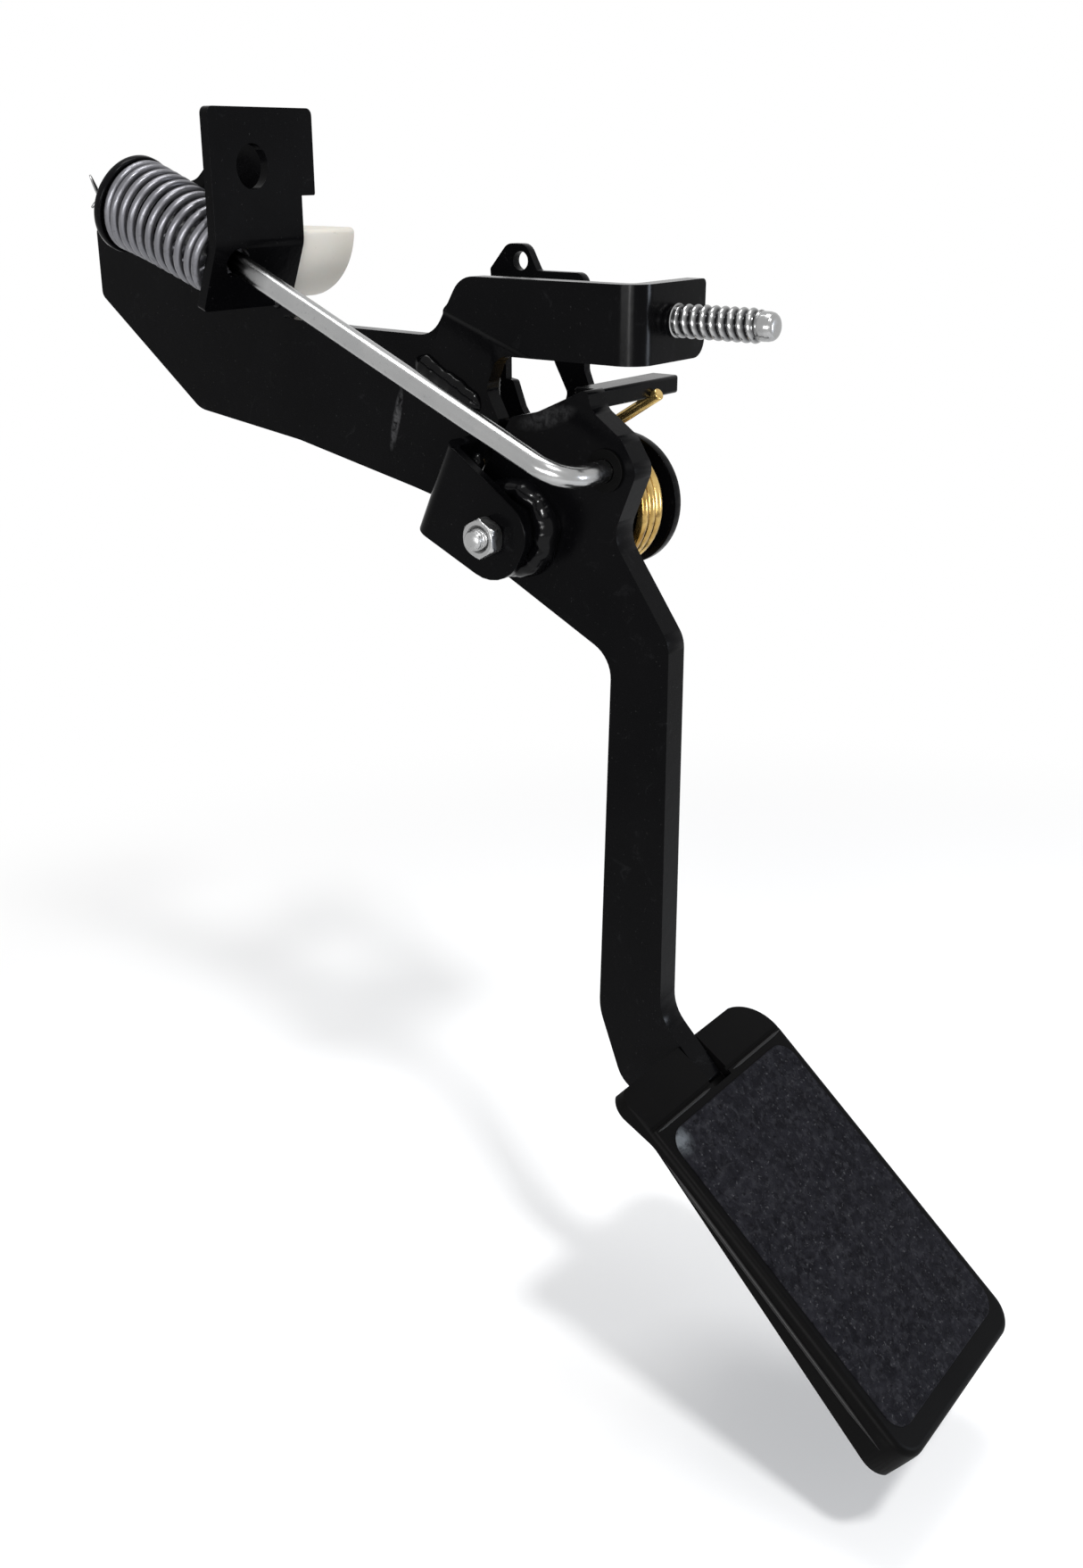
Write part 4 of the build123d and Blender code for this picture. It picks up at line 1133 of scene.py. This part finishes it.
foot_y, foot_z = foot_front
foot_line = [
    at(-4.6, foot_y - 0.5, foot_z + 12.0), at(-4.6, foot_y + 0.4, foot_z + 0.4),
    at(-4.2, foot_y + 1.2, foot_z - 1.0),
]
# (name, line, width, height, way out of the surface, seed, ripple, body)
beads = [
    (
        "web_weld", on_yz(WEB_X, [(36.6, 43.2), (25.0, 37.4), (13.4, 31.2)]),
        6.6, 2.4, (-1, 0, 0), 1.0, 4.4, "bracket",
    ),
    (
        "strap_wall_weld", strap_foot(-5.2, (15.2, 4.0, -8.0, -12.0)),
        4.2, 1.9, STRAP_U - ACROSS, 3.0, 2.4, "bracket",
    ),
    (
        "strap_inner_weld", strap_foot(-4.2, (12.0, 4.0, -8.0), 3.9),
        5.0, 2.2, -STRAP_U - ACROSS, 5.0, 2.4, "bracket",
    ),
    ("boss_weld", ring_of(-4.2, 10.4, -30, 325), 7.4, 5.8, (-1, 0, 0), 4.0, 6.0, "lever"),
    ("boss_weld_back", ring_of(4.0, 10.6, 0, 350), 4.0, 2.2, (1, 0, 0), 6.0, 1.9, "lever"),
    ("upright_weld", foot_line, 3.4, 1.4, (-1, -0.4, 0), 2.0, 1.5, "bracket"),
    (
        "upright_weld_back", on_yz(-4.6, [(85.9, 74.0), (86.0, 95.0)]),
        3.0, 1.3, (-1, 0.6, 0), 7.0, 1.5, "bracket",
    ),
    (
        "rear_foot_weld", on_yz(1.2, [(12.4, 23.0), (12.4, 44.0)]),
        3.2, 1.6, (1, -0.6, 0), 8.0, 1.5, "bracket",
    ),
    (
        "rear_wall_weld", on_yz(1.2, [(51.2, 23.0), (51.2, 44.0)]),
        3.2, 1.6, (1, 0.6, 0), 9.0, 1.5, "bracket",
    ),
]
for name, line, width, height, normal, seed, ripple, body in beads:
    lumps = BOSS_LUMPS if name == "boss_weld" else LUMPS
    piece = bead(name, line, width, height, normal, seed, ripple, lumps)
    stands_for(piece, body, "black_paint")

# ---------------------------------------------------------------- pad details

TILT = radians(49.7)
PAD_Y = -72.4
PAD_Z = -156.0
RIDGE_STEPS = 30
LIP_STEPS = 16


def on_pad(x, y, out):
    """Point x across the pad, y up along its face and out from it."""
    return at(x, PAD_Y + y * sin(TILT) - out * cos(TILT), PAD_Z + y * cos(TILT) + out * sin(TILT))


def tapered(thin, swell, steps, taper):
    """Radii in metres that swell from thin over the first and last taper steps."""
    return [
        thin + swell * min(1.0, k / taper, (steps - k) / taper) for k in range(steps + 1)
    ]


# a ridge along each side of the cover, which widens and deepens towards the lower end
for name, side in (("cover_ridge_left", -1), ("cover_ridge_right", 1)):
    line = []
    for k in range(RIDGE_STEPS + 1):
        depth = 2.9 + 2.3 * k / RIDGE_STEPS
        line.append(on_pad(side * (36.1 + 0.127 * depth), -4.0 - 94.0 * k / RIDGE_STEPS, -depth))
    size = tapered(0.0001, 0.00065, RIDGE_STEPS, 4.0)
    stands_for(tube(name, line, size, MOULDED_RIDGE, 10), "lever", "moulding")

# a lip above the insert on either side of the lever's slot
for name, x_from, x_to in (("groove_lip_left", -34.5, -6.4), ("groove_lip_right", 6.4, 34.5)):
    places = [x_from + (x_to - x_from) * k / LIP_STEPS for k in range(LIP_STEPS + 1)]
    line = [on_pad(x, 2.55, -0.1) for x in places]
    size = tapered(0.00012, 0.0004, LIP_STEPS, 2.0)
    stands_for(tube(name, line, size, MOULDED_RIDGE, 10), "lever", "moulding")

# dark lining that closes the slot round the lever's foot: (out, half width) rows
LINING_ROWS = [(-3.4, 6.4), (-4.0, 6.9), (-8.6, 6.9), (-9.4, 6.2)]
LINING_RING = 32
LINING_MIDDLE = 1.0
LINING_HALF = 4.4


def boxed(share, limit):
    """Stretches a sine or cosine and cuts it off, which squares a circle up."""
    return max(-limit, min(limit, 1.1 * share))


lining_verts = []
for out, half in LINING_ROWS:
    for k in range(LINING_RING):
        a = 2 * pi * k / LINING_RING
        y = LINING_MIDDLE + LINING_HALF * boxed(sin(a), 0.9)
        lining_verts.append(on_pad(half * boxed(cos(a), 0.85), y, out))
lining_faces = ring_faces(len(LINING_ROWS), LINING_RING)
lining = new_object("slot_lining", lining_verts, lining_faces, MOULDED)
stands_for(lining, "lever", "moulding")

# ---------------------------------------------------------------- camera and lamps

FILM = 36.0
HEADING = radians(36.5)
DIP = radians(21.5)

scene = bpy.context.scene
camera_data = bpy.data.cameras.new("camera")
camera = bpy.data.objects.new("camera", camera_data)
scene.collection.objects.link(camera)
scene.camera = camera
camera_data.sensor_fit = "VERTICAL"
camera_data.sensor_height = FILM
camera_data.sensor_width = FILM
camera_data.lens = 36.88
camera_data.clip_start = 0.01
forward = Vector((cos(HEADING) * cos(DIP), sin(HEADING) * cos(DIP), -sin(DIP)))
camera.location = at(-357.3, -269.1, 97.8)
camera.rotation_euler = forward.to_track_quat("-Z", "Y").to_euler()

LAMP_TARGET = Vector((-0.01, 0.0, -0.06))
WHITE = (1.0, 1.0, 1.0)
COOL = (0.80, 0.87, 1.0)


def lamp(name, place, size, power, colour=WHITE):
    """Area lamp at place that points at the part; place and size are in metres."""
    data = bpy.data.lights.new(name, "AREA")
    data.shape = "RECTANGLE"
    data.size, data.size_y = size
    data.energy = power
    data.color = colour
    obj = bpy.data.objects.new(name, data)
    scene.collection.objects.link(obj)
    obj.location = place
    obj.rotation_euler = (LAMP_TARGET - Vector(place)).to_track_quat("-Z", "Y").to_euler()


lamp("key", (-0.35, -0.55, 0.85), (0.12, 0.12), 7.4)
lamp("top", (0.10, 0.10, 1.0), (0.60, 0.35), 7.0)
lamp("fill", (-0.96, -0.29, -0.02), (1.0, 0.20), 6.2)
lamp("strip", (-0.89, -0.45, -0.02), (0.11, 0.36), 3.2)
lamp("side", (0.44, -0.90, -0.05), (0.24, 0.20), 4.2, COOL)

# ---------------------------------------------------------------- background and floor


def joined(tree, kind, *links, **values):
    """New node; links are (input, value or socket), values are the node's own settings."""
    n = tree.nodes.new(kind)
    for key, value in values.items():
        setattr(n, key, value)
    for place, value in links:
        if isinstance(value, bpy.types.NodeSocket):
            tree.links.new(value, n.inputs[place])
        else:
            n.inputs[place].default_value = value
    return n


def seen_directly(tree):
    """1 for camera, glossy and transmission rays, 0 for the light that falls on the part."""
    path = joined(tree, "ShaderNodeLightPath").outputs
    seen = path["Is Camera Ray"]
    for kind in ("Is Transmission Ray", "Is Glossy Ray"):
        seen = joined(
            tree, "ShaderNodeMath", (0, seen), (1, path[kind]), operation="MAXIMUM"
        ).outputs[0]
    return seen


WORLD_LIGHT = 0.35
FLOOR_GREY = (0.9, 0.9, 0.9, 1.0)
FLOOR_ROUGH = 0.9
FLOOR_HALF = 3.0
FLOOR_GAP = 0.03
FADE_FROM = 0.30
FADE_TO = 0.62

world = bpy.data.worlds.new("world")
scene.world = world
world.use_nodes = True
wt = world.node_tree
background = wt.nodes["Background"]
level = joined(
    wt, "ShaderNodeMix", (0, seen_directly(wt)), (2, WORLD_LIGHT), (3, 1.0), data_type="FLOAT"
)
background.inputs["Color"].default_value = (1.0, 1.0, 1.0, 1.0)
wt.links.new(level.outputs[0], background.inputs["Strength"])

# the floor turns white away from the part, so that it meets the background without an edge
drop = cad_low[2] - FLOOR_GAP
floor_mat = bpy.data.materials.new("pale_floor")
floor_mat.use_nodes = True
ft = floor_mat.node_tree
floor_bsdf = ft.nodes["Principled BSDF"]
floor_bsdf.inputs["Base Color"].default_value = FLOOR_GREY
floor_bsdf.inputs["Roughness"].default_value = FLOOR_ROUGH
floor_seen = seen_directly(ft)
floor_place = joined(ft, "ShaderNodeTexCoord").outputs["Object"]
floor_far = joined(
    ft, "ShaderNodeVectorMath", (0, floor_place), (1, (0.02, -0.08, drop)), operation="DISTANCE"
)
floor_fade = joined(
    ft, "ShaderNodeMapRange", (0, floor_far.outputs["Value"]), (1, FADE_FROM), (2, FADE_TO),
    interpolation_type="SMOOTHSTEP",
)
floor_share = joined(
    ft, "ShaderNodeMath", (0, floor_fade.outputs[0]), (1, floor_seen), operation="MULTIPLY"
)
floor_white = joined(
    ft, "ShaderNodeEmission", ("Color", (1.0, 1.0, 1.0, 1.0)), ("Strength", 1.0)
)
floor_mix = joined(
    ft, "ShaderNodeMixShader",
    (0, floor_share.outputs[0]), (1, floor_bsdf.outputs[0]), (2, floor_white.outputs[0]),
)
ft.links.new(floor_mix.outputs[0], ft.nodes["Material Output"].inputs["Surface"])
floor_mesh = bpy.data.meshes.new("floor")
floor_corners = [
    (x * FLOOR_HALF, y * FLOOR_HALF, drop) for x, y in ((-1, -1), (1, -1), (1, 1), (-1, 1))
]
floor_mesh.from_pydata(floor_corners, [], [(0, 1, 2, 3)])
floor_mesh.materials.append(floor_mat)
floor = bpy.data.objects.new("floor", floor_mesh)
scene.collection.objects.link(floor)

scene.view_settings.view_transform = "Standard"
